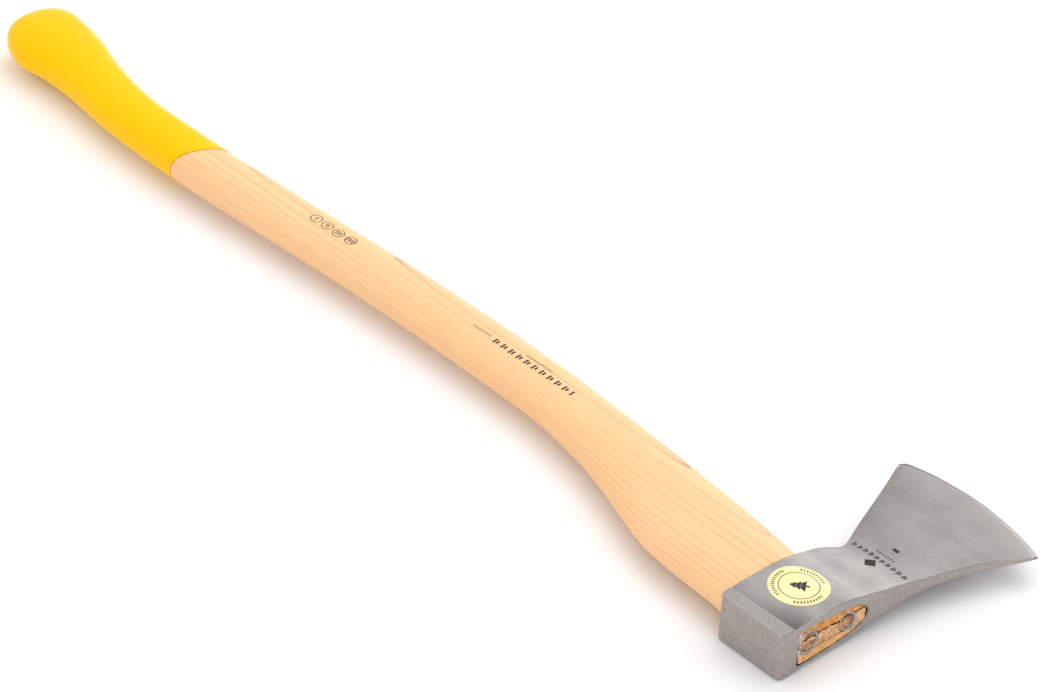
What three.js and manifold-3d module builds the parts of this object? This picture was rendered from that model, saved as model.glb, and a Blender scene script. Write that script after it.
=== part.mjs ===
// Long-handled splitting maul with a forged steel head, a curved ash handle,
// a dipped grip, a wooden eye wedge and two round steel ring wedges.
// Units: millimetres. +X points from the poll to the cutting edge, +Y from the
// head to the grip end, +Z is square to the cheeks. The maul lies on its side.
import * as THREE from 'three';
import * as BufferGeometryUtils from 'three/addons/utils/BufferGeometryUtils.js';
import Module from 'manifold-3d';

const wasm = await Module();
wasm.setup();

// ---------------------------------------------------------------------------
// driving dimensions
// ---------------------------------------------------------------------------
// Drawing frame: x = 0 on the poll face, y = 0 on the eye-end face of the head,
// z = 0 in the middle plane. One group moves it to the final origin, the middle
// of the bounding box's base.
const POLL_X = -1.6;              // the struck face stands a little past x = 0
const EDGE_X = 204.6;             // furthest point of the cutting edge
const TOE_Y = -31.8;              // lowest corner of the cutting edge
const HEEL_Y = 89.3;              // rounded heel corner of the cutting edge
const TIP_Y = 797.0;              // far end of the grip, over the coating
const HALF_CHEEK = 18.4;          // half thickness of the head at the cheeks

const POLL_INSET = 1.0;           // chamfer round the poll face
const POLL_CORNER = 3.0;          // its rounding toward the eye sides of the head
const LOW_BEVEL = 2.4;            // bevel of the lower edge under the mouth of the eye
const CORNER = 0.8;               // chamfer along the head's long corners
const EDGE_LAND = 0.5;            // thickness left on the cutting edge
const BEVEL = 3.0;                // width of the edge bevel
const GAP = 0.3;                  // clearance between touching pieces

const EYE_Z = -1.2;               // the eye sits slightly off the middle plane
const TONGUE_TOP = 0.4;           // the wood ends just inside the eye mouth
const SHOULDER_Y = 55.1 + GAP;    // the shoulder butts against the head

const WEDGE_T0 = 9.6;             // wedge thickness at the eye mouth
const WEDGE_T1 = 3.6;             // wedge thickness at its thin end
const WEDGE_DEPTH = 38.0;
const WEDGE_Z = -1.8;             // middle of the kerf
const WEDGE_X0 = 18.1, WEDGE_X1 = 69.5;
const RING1 = { x: 23.0, z: 0.7, r: 8.7, rin: 6.5, depth: 21.0 };
const RING2 = { x: 57.4, z: -0.6, r: 7.2, rin: 5.2, depth: 19.0 };
const RING_TAPER = 0.5;           // how much smaller the ring is at its tip

const COAT_OUT = 0.3;             // the coating stands proud of the bare wood
const COAT_IN = 0.6;              // and is let into it by this much
const DIP_Y = 601.0;              // where the coating's edge crosses the middle
const DIP_SHEAR = -0.48;          // the coating's edge runs at a slant

const LABEL_X = 40.8, LABEL_Y = 28.8, LABEL_R = 19.8, LABEL_T = 0.3, LABEL_GAP = 0.15;

const SIDES = 32;                 // points round a section of the handle
const NSUP = 2.35;                // superellipse exponent of the handle

// ---------------------------------------------------------------------------
// small helpers
// ---------------------------------------------------------------------------
// Smooth monotone interpolation through a table of [key, value] rows.
function pchip(rows) {
  const n = rows.length, x = rows.map(r => r[0]), y = rows.map(r => r[1]);
  const d = [], m = new Array(n).fill(0);
  for (let i = 0; i < n - 1; i++) d.push((y[i + 1] - y[i]) / (x[i + 1] - x[i]));
  m[0] = d[0]; m[n - 1] = d[n - 2];
  for (let i = 1; i < n - 1; i++) {
    if (d[i - 1] * d[i] <= 0) { m[i] = 0; continue; }
    const h0 = x[i] - x[i - 1], h1 = x[i + 1] - x[i];
    const w1 = 2 * h1 + h0, w2 = h1 + 2 * h0;
    m[i] = (w1 + w2) / (w1 / d[i - 1] + w2 / d[i]);
  }
  return t => {
    if (t <= x[0]) return y[0];
    if (t >= x[n - 1]) return y[n - 1];
    let i = 0;
    while (t > x[i + 1]) i++;
    const h = x[i + 1] - x[i], s = (t - x[i]) / h;
    return y[i] * (1 + 2 * s) * (1 - s) ** 2 + m[i] * h * s * (1 - s) ** 2
      + y[i + 1] * s * s * (3 - 2 * s) + m[i + 1] * h * s * s * (s - 1);
  };
}
const linear = rows => t => {
  if (t <= rows[0][0]) return rows[0][1];
  for (let i = 1; i < rows.length; i++) {
    if (t <= rows[i][0]) {
      const [x0, y0] = rows[i - 1], [x1, y1] = rows[i];
      return y0 + (y1 - y0) * (t - x0) / (x1 - x0);
    }
  }
  return rows[rows.length - 1][1];
};

// Closed loft through rings of equal length, with a fan over each end.
function loft(rings) {
  const n = rings[0].length, pos = [], idx = [];
  for (const r of rings) for (const p of r) pos.push(p[0], p[1], p[2]);
  for (let k = 0; k < rings.length - 1; k++) {
    for (let i = 0; i < n; i++) {
      const a = k * n + i, b = k * n + (i + 1) % n;
      idx.push(a, b, a + n, b, b + n, a + n);
    }
  }
  for (const [k, flip] of [[0, true], [rings.length - 1, false]]) {
    const c = [0, 1, 2].map(j => rings[k].reduce((s, p) => s + p[j], 0) / n);
    const ci = pos.length / 3;
    pos.push(...c);
    for (let i = 0; i < n; i++) {
      const a = k * n + i, b = k * n + (i + 1) % n;
      if (flip) idx.push(ci, b, a); else idx.push(ci, a, b);
    }
  }
  let vol = 0;
  const P = i => new THREE.Vector3(pos[3 * i], pos[3 * i + 1], pos[3 * i + 2]);
  for (let i = 0; i < idx.length; i += 3) {
    vol += P(idx[i]).dot(P(idx[i + 1]).cross(P(idx[i + 2])));
  }
  if (vol < 0) for (let i = 0; i < idx.length; i += 3) [idx[i], idx[i + 1]] = [idx[i + 1], idx[i]];
  const g = new THREE.BufferGeometry();
  g.setAttribute('position', new THREE.Float32BufferAttribute(pos, 3));
  g.setIndex(idx);
  return g;
}

function solid(geometry) {
  let g = geometry.clone();
  g.deleteAttribute('normal');
  g.deleteAttribute('uv');
  g = BufferGeometryUtils.mergeVertices(g, 1e-4);
  return new wasm.Manifold(new wasm.Mesh({
    numProp: 3,
    vertProperties: new Float32Array(g.attributes.position.array),
    triVerts: new Uint32Array(g.index.array),
  }));
}

function geometryOf(manifold) {
  const m = manifold.getMesh();
  const g = new THREE.BufferGeometry();
  const out = new Float32Array(m.numVert * 3);
  for (let i = 0; i < m.numVert; i++) {
    for (let j = 0; j < 3; j++) out[3 * i + j] = m.vertProperties[i * m.numProp + j];
  }
  g.setAttribute('position', new THREE.BufferAttribute(out, 3));
  g.setIndex(new THREE.BufferAttribute(new Uint32Array(m.triVerts), 1));
  g.computeVertexNormals();
  return g;
}

function mesh(name, geometry, color, roughness, metalness) {
  if (!geometry.attributes.normal) geometry.computeVertexNormals();
  const m = new THREE.Mesh(geometry, new THREE.MeshStandardMaterial({ color, roughness, metalness }));
  m.name = name;
  return m;
}

// ---------------------------------------------------------------------------
// head
// ---------------------------------------------------------------------------
// outline seen square to the cheeks: toe side, heel side and cutting edge
const toeSide = pchip([[0, 0], [60, 0], [75, -0.3], [83, -1.0], [100, -2.3], [116, -4.6],
  [138, -9.4], [158, -15.8], [170, -21.0], [180, -25.9], [193.7, TOE_Y]]);
const heelSide = pchip([[0, 55.1], [66, 55.1], [75, 55.0], [80.6, 54.5], [84.2, 53.7], [87.6, 52.6],
  [90.7, 51.1], [93.7, 49.5], [97.4, 48.2], [100.4, 48.2], [103.5, 49.1], [106.5, 50.5], [112, 53.2],
  [117.7, 56.1], [126.2, 60.1], [142.1, 66.9], [157.1, 73.2], [174.5, 81.1], [186, 86.7], [192.4, HEEL_Y]]);
const cuttingEdge = pchip([[TOE_Y, 193.7], [-28.4, 195.2], [-21.2, 197.4], [-9.6, 200.2], [0.9, 202.1],
  [10.8, 203.3], [20.1, 204.2], [30, EDGE_X], [38.2, 204.5], [46.4, 203.9], [55, 203.2],
  [62.9, 202.2], [70.4, 200.9], [77.3, 199.1], [84.5, 197.0], [87.9, 195.1], [HEEL_Y, 192.4]]);

// half thickness along the head, at its two sides and along its middle
const polls = [[POLL_X + 1.0, 17.4], [10, 17.9], [22, HALF_CHEEK], [44, HALF_CHEEK], [50, 17.9], [56, 17.0], [61, 15.9], [66, 14.7], [71, 13.3]];
const halfSide = linear([...polls, [76, 12.2], [83, 11.0], [90, 9.6], [100, 7.8], [108, 6.4],
  [116, 5.4], [126, 4.5], [138, 3.9], [158, 3.5], [170, 3.2]]);
const halfMiddle = linear([...polls, [76, 12.4], [83, 11.5], [90, 10.5], [100, 9.0], [108, 8.0],
  [116, 7.1], [126, 6.2], [138, 5.4], [158, 4.5], [170, 4.1]]);

// the lower edge under the eye's mouth is dressed off with a wider bevel
const lowBevel = linear([[14, CORNER], [19, LOW_BEVEL], [48, LOW_BEVEL], [57, 1.5], [66, CORNER]]);

const HEAD_COLUMNS = 12;
function headRing(xAt, halfAt, inset = 0) {
  const v = [];
  for (let j = 0; j <= HEAD_COLUMNS; j++) v.push(j / HEAD_COLUMNS);
  const y0 = toeSide(xAt(0)) + inset, y1 = heelSide(xAt(1)) - inset;
  const pts = v.map(t => {
    const x = xAt(t), h = halfAt(t, x);
    return [x, y0 + (y1 - y0) * t, h];
  });
  const c0 = Math.min(CORNER, 0.3 * pts[0][2]), c1 = Math.min(CORNER, 0.3 * pts[HEAD_COLUMNS][2]);
  const top = pts.map((p, j) => [p[0], j === 0 ? p[1] + c0 : j === HEAD_COLUMNS ? p[1] - c1 : p[1], p[2]]);
  const a = pts[0], b = pts[HEAD_COLUMNS];
  const ring = [...top, [b[0], b[1], b[2] - c1], [b[0], b[1], -b[2] + c1]];
  const cb = Math.max(c0, Math.min(0.3 * a[2], lowBevel(a[0])));
  for (let j = HEAD_COLUMNS; j >= 0; j--) ring.push([top[j][0], j === 0 ? a[1] + cb : top[j][1], -top[j][2]]);
  ring.push([a[0], a[1], -a[2] + cb], [a[0], a[1], a[2] - c0]);
  return ring;
}
const bulge = t => Math.max(0, 1 - (2 * t - 1) ** 2) ** 0.8;
const halfBody = (t, x) => halfSide(x) + (halfMiddle(x) - halfSide(x)) * bulge(t);

const headRings = [headRing(() => POLL_X, () => 17.4 - POLL_INSET, POLL_CORNER),
  headRing(() => POLL_X + 1.0, halfBody, POLL_CORNER * 0.42)];
for (const x of [POLL_X + 3.4, 10, 14, 19, 22, 44, 50, 56, 61, 66, 71, 76, 80, 84, 88, 92, 96, 99.5, 103, 107, 111, 116,
  121, 127, 133, 140, 148, 158]) {
  headRings.push(headRing(() => x, halfBody));
}
const edgeX = t => cuttingEdge(TOE_Y + (HEEL_Y - TOE_Y) * t);
const X_SPLIT = 158;
for (const f of [0.25, 0.5, 0.75, 1]) {
  const xAt = t => X_SPLIT + (edgeX(t) - BEVEL - X_SPLIT) * f;
  headRings.push(headRing(xAt, (t) => {
    const start = halfBody(t, X_SPLIT);
    return start + (1.15 - start) * (f ** 1.35);
  }));
}
headRings.push(headRing(edgeX, () => EDGE_LAND / 2));

// eye: outline measured across the head at the mouth, narrower at the shoulder
const eyeHalf = pchip([[0, 12.2], [4, 13.4], [10, 13.5], [20, 13.0], [30, 12.2], [40, 11.2],
  [48, 9.9], [54, 8.0], [58, 5.4], [60.4, 2.6]]);
const EYE_X0 = 13.8, EYE_LEN = 61.2;
function eyeRing(y, offset) {
  const s = 1 - 0.075 * (y / 55.1);                     // slow taper toward the shoulder
  const xs = [0, 4, 10, 20, 30, 40, 48, 54, 58, 60.4];
  const mid = EYE_X0 + EYE_LEN / 2 - 0.9;
  const at = (x, w) => [mid + (EYE_X0 + x - mid) * s, y, w * s];
  const upper = xs.map(x => at(x, eyeHalf(x)));
  const tip = at(EYE_LEN, 0);
  const loop = [...upper, tip, ...upper.slice().reverse().map(p => [p[0], y, -p[2]])];
  // move every point along the outline's normal
  const n = loop.length;
  return loop.map((p, i) => {
    const a = loop[(i + n - 1) % n], b = loop[(i + 1) % n];
    const e0 = [p[0] - a[0], p[2] - a[2]], e1 = [b[0] - p[0], b[2] - p[2]];
    const l0 = Math.hypot(...e0), l1 = Math.hypot(...e1);
    const n0 = [-e0[1] / l0, e0[0] / l0], n1 = [-e1[1] / l1, e1[0] / l1];
    const k = offset / (1 + n0[0] * n1[0] + n0[1] * n1[1]);
    return [p[0] + (n0[0] + n1[0]) * k, y, p[2] + (n0[1] + n1[1]) * k + EYE_Z];
  });
}
const eyeCutter = loft([eyeRing(-10, 0), eyeRing(65, 0)]);
const headGeometry = geometryOf(solid(loft(headRings)).subtract(solid(eyeCutter)));

// ---------------------------------------------------------------------------
// handle
// ---------------------------------------------------------------------------
// side outline at the middle plane: poll side and bit side
const pollSide = pchip([[55, 3.2], [68, 5.2], [84, 6.3], [100, 7.0], [116, 8.2], [128, 9.6], [138, 11.3],
  [148, 14.2], [158, 17.4], [170, 21.5], [182, 25.6], [194, 29.6], [206, 33.4], [220, 37.0], [236, 40.1],
  [252, 42.8], [270, 45.0], [290, 46.2], [320, 46.2], [370, 46.0], [400, 45.7], [430, 44.8], [460, 43.7],
  [490, 42.0], [520, 39.9], [550, 37.8], [580, 35.7], [610, 34.9], [640, 34.9], [670, 35.7], [690, 37.2],
  [708, 39.4], [724, 40.9], [736, 41.2], [750, 40.6], [764, 38.4]]);
const bitSide = pchip([[55, 72.9], [68, 75.0], [84, 77.0], [100, 78.8], [116, 80.4], [132, 81.6],
  [148, 82.7], [164, 83.9], [180, 85.0], [196, 85.8], [212, 86.6], [228, 87.3], [244, 88.0], [270, 88.8],
  [300, 89.2], [330, 89.3], [350, 88.8], [370, 88.0], [400, 86.9], [430, 85.2], [460, 83.3], [490, 81.1],
  [520, 78.8], [550, 76.8], [580, 74.6], [610, 73.3], [640, 72.3], [655, 71.9], [666, 72.3], [680, 73.6],
  [692, 75.4], [704, 77.9], [716, 81.2], [726, 84.6], [736, 87.9], [746, 90.6], [756, 92.6], [764, 93.4]]);
const halfDepth = pchip([[55, 13.2], [90, 13.5], [160, 13.5], [200, 13.2], [260, 12.8], [350, 12.75],
  [500, 13.0], [640, 13.5], [690, 14.1], [730, 15.0], [766, 15.75]]);
// slant of the sections, as the change of y for each mm of x
const shearAt = pchip([[500, 0], [560, DIP_SHEAR * 0.6], [DIP_Y, DIP_SHEAR], [625, DIP_SHEAR * 0.8],
  [660, -0.07], [690, -0.09], [722, -0.14], [766, -0.17]]);
const CAP_Y = 766, CAP_H = 30.6, CAP_DIR = [0.21, 0.978], CAP_N = 2.6;

function section(y0, shear, e) {
  // e is added to the outline on every side
  let xl = pollSide(y0), xr = bitSide(y0);
  for (let i = 0; i < 4; i++) {
    const m = (xl + xr) / 2;
    xl = pollSide(y0 + shear * (xl - m));
    xr = bitSide(y0 + shear * (xr - m));
  }
  return { y0, shear, mid: (xl + xr) / 2, a: (xr - xl) / 2 + e, c: halfDepth(y0) + e };
}
function ringOf(s, k = 1, lift = [0, 0]) {
  const out = [];
  for (let i = 0; i < SIDES; i++) {
    const t = 2 * Math.PI * i / SIDES, ct = Math.cos(t), st = Math.sin(t);
    const u = Math.sign(ct) * Math.abs(ct) ** (2 / NSUP) * s.a * k;
    const w = Math.sign(st) * Math.abs(st) ** (2 / NSUP) * s.c * k;
    out.push([s.mid + u + lift[0], s.y0 + s.shear * u + lift[1], w]);
  }
  return out;
}
function capRings(e, steps) {
  const s = section(CAP_Y, shearAt(CAP_Y), e), out = [], h = CAP_H + e;
  for (let i = 1; i <= steps; i++) {
    const ph = (Math.PI / 2) * (i / (steps + 0.22));
    const up = Math.sin(ph) ** (2 / CAP_N), k = Math.cos(ph) ** (2 / CAP_N);
    out.push(ringOf(s, k, [CAP_DIR[0] * h * up, CAP_DIR[1] * h * up]));
  }
  return out;
}
// resample the eye outline to SIDES points by angle about its centre, so that
// the tongue's rings match the shoulder's rings
function tongueRing(y) {
  const loop = eyeRing(y, -GAP), s = section(SHOULDER_Y, 0, 0), out = [];
  const cx = s.mid, cz = 0;
  for (const q of ringOf(s)) {
    const dx = q[0] - cx, dz = q[2] - cz;
    let best = null;
    for (let i = 0; i < loop.length; i++) {
      const a = loop[i], b = loop[(i + 1) % loop.length];
      const ex = b[0] - a[0], ez = b[2] - a[2];
      const den = dx * ez - dz * ex;
      if (Math.abs(den) < 1e-9) continue;
      const t = ((a[0] - cx) * ez - (a[2] - cz) * ex) / den;
      const u = ((a[0] - cx) * dz - (a[2] - cz) * dx) / den;
      if (t > 0 && u >= -1e-9 && u <= 1 + 1e-9 && (best === null || t > best)) best = t;
    }
    out.push([cx + dx * best, y, cz + dz * best]);
  }
  return out;
}

const handleRings = [tongueRing(TONGUE_TOP), tongueRing(SHOULDER_Y)];
for (const y of [SHOULDER_Y, 72, 90, 108, 124, 138, 150, 162, 176, 192, 208, 226, 246, 270, 300, 335, 370,
  405, 440, 475, 505, 530, 552, 572, 588]) {
  handleRings.push(ringOf(section(y, shearAt(y), 0)));
}
const INNER = -(COAT_IN + GAP);
const mouth = section(DIP_Y - GAP, DIP_SHEAR, 0);
const neck = { ...mouth, a: mouth.a + INNER, c: mouth.c + INNER };
handleRings.push(ringOf(mouth), ringOf(neck));
const gripYs = [614, 630, 646, 662, 678, 693, 706, 718, 730, 742, 754, CAP_Y];
for (const y of gripYs) handleRings.push(ringOf(section(y, shearAt(y), INNER)));
handleRings.push(...capRings(INNER, 6));

// The wedge and, grown by e, the kerf that it fills. The kerf is open toward
// the bit; toward the poll it stops under the front ring.
function wedgeSolid(e) {
  const rings = [];
  const y0 = e > 0 ? TONGUE_TOP - 6 : TONGUE_TOP;
  for (const y of [y0, WEDGE_DEPTH + e]) {
    const s = (y - TONGUE_TOP) / (WEDGE_DEPTH - TONGUE_TOP);
    const a = WEDGE_X0 + 1.4 * s - e;
    const b = WEDGE_X1 - 1.8 * s + (e > 0 ? 20 : 0);
    const h = (WEDGE_T0 + (WEDGE_T1 - WEDGE_T0) * s) / 2 + e;
    rings.push([[a, y, WEDGE_Z + h], [b, y, WEDGE_Z + h], [b, y, WEDGE_Z - h], [a, y, WEDGE_Z - h]]);
  }
  return solid(loft(rings));
}
// steel ring: a tube that thins to an edge at its tip
function ringProfile(R, e) {
  const r0 = R.r + e, r1 = R.r - RING_TAPER + e, i0 = R.rin - e, i1 = R.r - RING_TAPER - 1.1 - e;
  const d = R.depth + e;
  const top = e > 0 ? -6 : TONGUE_TOP + 0.1;
  return [new THREE.Vector2(i0, top), new THREE.Vector2(r0, top), new THREE.Vector2(r1, d),
    new THREE.Vector2(i1, d), new THREE.Vector2(i0, top)];
}
function ringGeometry(R, e) {
  const g = new THREE.LatheGeometry(ringProfile(R, e), 28);
  g.translate(R.x, 0, R.z);
  return g;
}
function latheSolid(g) {
  let q = g.clone();
  q.deleteAttribute('normal');
  q.deleteAttribute('uv');
  q = BufferGeometryUtils.mergeVertices(q, 1e-3);
  const p = q.attributes.position.array, t = q.index.array, keep = [];
  for (let i = 0; i < t.length; i += 3) {
    if (t[i] !== t[i + 1] && t[i + 1] !== t[i + 2] && t[i] !== t[i + 2]) keep.push(t[i], t[i + 1], t[i + 2]);
  }
  let vol = 0;
  const P = i => new THREE.Vector3(p[3 * i], p[3 * i + 1], p[3 * i + 2]);
  for (let i = 0; i < keep.length; i += 3) vol += P(keep[i]).dot(P(keep[i + 1]).cross(P(keep[i + 2])));
  if (vol < 0) for (let i = 0; i < keep.length; i += 3) [keep[i], keep[i + 1]] = [keep[i + 1], keep[i]];
  return new wasm.Manifold(new wasm.Mesh({ numProp: 3, vertProperties: new Float32Array(p), triVerts: new Uint32Array(keep) }));
}
const ringCut1 = latheSolid(ringGeometry(RING1, GAP));
const ringCut2 = latheSolid(ringGeometry(RING2, GAP));

const handleGeometry = geometryOf(solid(loft(handleRings)).subtract(wedgeSolid(GAP)).subtract(ringCut1).subtract(ringCut2));
const wedgeGeometry = geometryOf(wedgeSolid(0).subtract(ringCut1).subtract(ringCut2));
const ring1Geometry = geometryOf(latheSolid(ringGeometry(RING1, 0)));
const ring2Geometry = geometryOf(latheSolid(ringGeometry(RING2, 0)));

// ---------------------------------------------------------------------------
// dipped coating: a closed cup over the grip, open toward the head
// ---------------------------------------------------------------------------
const coatMouth = section(DIP_Y, DIP_SHEAR, 0);
const shell = e => [
  ringOf({ ...coatMouth, a: coatMouth.a + e, c: coatMouth.c + e }),
  ...gripYs.map(y => ringOf(section(y, shearAt(y), e))),
  ...capRings(e, 6),
];
// one skin: down the outside from the tip, round the lip and up the inside
const coatGeometry = geometryOf(solid(loft([...shell(COAT_OUT).reverse(), ...shell(-COAT_IN)])));

// ---------------------------------------------------------------------------
// round label on the upper cheek
// ---------------------------------------------------------------------------
const labelRings = [];
for (let i = 0; i <= 26; i++) {
  const t = Math.PI * (1 - i / 26);
  const x = LABEL_X + LABEL_R * Math.cos(t);
  const w = Math.max(LABEL_R * Math.sin(t), 0.35);
  const z0 = halfSide(x) + LABEL_GAP, z1 = z0 + LABEL_T;
  labelRings.push([[x, LABEL_Y - w, z0], [x, LABEL_Y + w, z0], [x, LABEL_Y + w, z1], [x, LABEL_Y - w, z1]]);
}
// extra sections where the cheek changes slope, so that the label follows it
for (const x of [44, 50, 56]) {
  const w = Math.sqrt(LABEL_R ** 2 - (x - LABEL_X) ** 2);
  const z0 = halfSide(x) + LABEL_GAP, z1 = z0 + LABEL_T;
  labelRings.push([[x, LABEL_Y - w, z0], [x, LABEL_Y + w, z0], [x, LABEL_Y + w, z1], [x, LABEL_Y - w, z1]]);
}
labelRings.sort((p, q) => p[0][0] - q[0][0]);
const labelGeometry = geometryOf(solid(loft(labelRings)));

// ---------------------------------------------------------------------------
// the scene graph
// ---------------------------------------------------------------------------
const maul = new THREE.Group();
maul.name = 'splitting_maul';
const drawing = new THREE.Group();
drawing.position.set(-(POLL_X + EDGE_X) / 2, -(TIP_Y + TOE_Y) / 2, HALF_CHEEK);
maul.add(drawing);
drawing.add(
  mesh('head', headGeometry, 0xaca6a3, 0.45, 0.9),
  mesh('handle', handleGeometry, 0xf3cb94, 0.55, 0.0),
  mesh('eye_wedge', wedgeGeometry, 0xd7aa82, 0.8, 0.0),
  mesh('ring_wedge_front', ring1Geometry, 0x9a9d9e, 0.4, 1.0),
  mesh('ring_wedge_rear', ring2Geometry, 0x9a9d9e, 0.4, 1.0),
  mesh('grip_coating', coatGeometry, 0xffd200, 0.35, 0.0),
  mesh('label', labelGeometry, 0xf5e89a, 0.5, 0.0),
);
maul.updateMatrixWorld(true);

export default maul;
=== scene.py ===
import math

import bmesh
import bpy
import numpy as np
from mathutils import Matrix, Vector, noise


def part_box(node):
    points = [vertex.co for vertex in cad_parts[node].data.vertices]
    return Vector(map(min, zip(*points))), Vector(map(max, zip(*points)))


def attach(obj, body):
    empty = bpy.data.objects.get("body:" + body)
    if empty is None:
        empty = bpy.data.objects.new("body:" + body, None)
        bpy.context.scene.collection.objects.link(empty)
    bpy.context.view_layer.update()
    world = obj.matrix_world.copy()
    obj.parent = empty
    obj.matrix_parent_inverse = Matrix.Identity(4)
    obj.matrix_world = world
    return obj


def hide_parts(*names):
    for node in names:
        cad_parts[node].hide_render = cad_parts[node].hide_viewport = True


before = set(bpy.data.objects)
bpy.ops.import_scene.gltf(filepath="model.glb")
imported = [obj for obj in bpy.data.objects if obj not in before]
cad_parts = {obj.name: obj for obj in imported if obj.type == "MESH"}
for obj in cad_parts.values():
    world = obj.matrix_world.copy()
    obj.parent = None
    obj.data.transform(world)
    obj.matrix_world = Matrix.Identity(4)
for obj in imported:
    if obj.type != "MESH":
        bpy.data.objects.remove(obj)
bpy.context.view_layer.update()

scene = bpy.context.scene

# ---------------------------------------------------------------------------
# the drawing frame of the maul, in millimetres: x = 0 near the poll face,
# y = 0 on the eye-end face of the head, z = 0 in the middle plane
# ---------------------------------------------------------------------------
POLL_X, EDGE_X = -1.6, 204.6
TOE_Y, HEEL_Y = -31.8, 89.3
HALF_CHEEK = 18.4
BEVEL = 3.0
EYE_Z = -1.2
GAP = 0.3
TONGUE_TOP = 0.4
SHOULDER_Y = 55.1 + GAP
WEDGE_T0, WEDGE_T1, WEDGE_DEPTH = 9.6, 3.6, 38.0
WEDGE_Z, WEDGE_X0, WEDGE_X1 = -1.8, 18.1, 69.5
RING1 = dict(x=23.0, z=0.7, r=8.7, rin=6.5, depth=21.0, tilt=(0.035, 0.055), lift=-0.25)
RING2 = dict(x=57.4, z=-0.6, r=7.2, rin=5.2, depth=19.0, tilt=(-0.10, 0.05), lift=0.10)
RING_TAPER = 0.5
COAT_OUT, COAT_IN = 0.3, 0.6
DIP_Y, DIP_SHEAR = 601.0, -0.48
LABEL_X, LABEL_Y, LABEL_R = 40.8, 28.8, 19.8
NSUP = 2.35
X_SPLIT = 158.0

head_lo, head_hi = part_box("head")
DX = head_lo.x * 1000 - POLL_X
DY = head_lo.y * 1000 - TOE_Y
DZ = head_lo.z * 1000 + HALF_CHEEK


def to_row(p):
    """drawing millimetres -> row frame metres"""
    p = np.asarray(p, float)
    return (p + np.array([DX, DY, DZ])) / 1000.0


def pchip(rows):
    x = np.array([r[0] for r in rows], float)
    y = np.array([r[1] for r in rows], float)
    h = np.diff(x)
    d = np.diff(y) / h
    m = np.zeros(len(x))
    m[0], m[-1] = d[0], d[-1]
    for i in range(1, len(x) - 1):
        if d[i - 1] * d[i] > 0:
            w1, w2 = 2 * h[i] + h[i - 1], h[i] + 2 * h[i - 1]
            m[i] = (w1 + w2) / (w1 / d[i - 1] + w2 / d[i])

    def f(t):
        t = np.clip(np.asarray(t, float), x[0], x[-1])
        i = np.clip(np.searchsorted(x, t, side="right") - 1, 0, len(x) - 2)
        s = (t - x[i]) / h[i]
        return (y[i] * (1 + 2 * s) * (1 - s) ** 2 + m[i] * h[i] * s * (1 - s) ** 2
                + y[i + 1] * s * s * (3 - 2 * s) + m[i + 1] * h[i] * s * s * (s - 1))
    return f


def smooth(a, b, t):
    t = np.clip((np.asarray(t, float) - a) / (b - a), 0, 1)
    return t * t * (3 - 2 * t)


def nz(x, y, z, seed=0.0):
    """smooth noise from -1 to 1 at a point given in noise cells"""
    return noise.noise(Vector((x + seed * 7.31, y - seed * 3.17, z + seed * 1.73)))


# ---------------------------------------------------------------------------
# mesh helpers
# ---------------------------------------------------------------------------
def object_from(name, verts, faces):
    me = bpy.data.meshes.new(name)
    me.from_pydata([tuple(v) for v in verts], [], [tuple(f) for f in faces])
    me.validate()
    ob = bpy.data.objects.new(name, me)
    scene.collection.objects.link(ob)
    return ob


def loft(name, rings, cap_first=True, cap_last=True):
    """closed loft in drawing millimetres; end caps are fans to the middle"""
    rings = np.asarray(rings, float)
    k, n, _ = rings.shape
    verts = rings.reshape(-1, 3).tolist()
    faces = []
    for a in range(k - 1):
        for i in range(n):
            j = (i + 1) % n
            faces.append((a * n + i, a * n + j, (a + 1) * n + j, (a + 1) * n + i))
    if cap_first:
        c = len(verts)
        verts.append(rings[0].mean(0).tolist())
        faces += [(c, (i + 1) % n, i) for i in range(n)]
    if cap_last:
        c = len(verts)
        verts.append(rings[-1].mean(0).tolist())
        b = (k - 1) * n
        faces += [(c, b + i, b + (i + 1) % n) for i in range(n)]
    verts = to_row(verts)
    ob = object_from(name, verts, faces)
    fix_normals(ob)
    return ob


def fix_normals(ob):
    bm = bmesh.new()
    bm.from_mesh(ob.data)
    bmesh.ops.recalc_face_normals(bm, faces=bm.faces)
    if bm.calc_volume(signed=True) < 0:
        bmesh.ops.reverse_faces(bm, faces=bm.faces)
    bm.to_mesh(ob.data)
    bm.free()


def cut(ob, *cutters):
    """subtracts the cutters from ob and removes them"""
    for c in cutters:
        m = ob.modifiers.new("cut", "BOOLEAN")
        m.operation = "DIFFERENCE"
        m.solver = "MANIFOLD"
        m.object = c
        bpy.context.view_layer.update()
        dg = bpy.context.evaluated_depsgraph_get()
        me = bpy.data.meshes.new_from_object(ob.evaluated_get(dg))
        ob.modifiers.clear()
        old = ob.data
        ob.data = me
        bpy.data.meshes.remove(old)
    for c in cutters:
        bpy.data.objects.remove(c)
    return ob


def roughen(ob, chosen, longest, move):
    """splits the chosen faces of ob down to a longest edge, in millimetres,
    and moves their points"""
    bm = bmesh.new()
    bm.from_mesh(ob.data)
    off = Vector((DX, DY, DZ))
    for _ in range(6):
        edges = {e for f in bm.faces if chosen(f.calc_center_median() * 1000 - off, f.normal)
                 for e in f.edges if e.calc_length() > longest / 1000}
        if not edges:
            break
        edges = sorted(edges, key=lambda e: e.index)
        bmesh.ops.subdivide_edges(bm, edges=edges, cuts=1)
        bmesh.ops.triangulate(bm, faces=[f for f in bm.faces if len(f.verts) > 4])
        bm.normal_update()
        bm.edges.index_update()
        bm.faces.index_update()
    verts = {v for f in bm.faces if chosen(f.calc_center_median() * 1000 - off, f.normal) for v in f.verts}
    for v in verts:
        v.co += Vector(move(v.co * 1000 - off)) / 1000
    bm.normal_update()
    bm.to_mesh(ob.data)
    bm.free()


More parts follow.
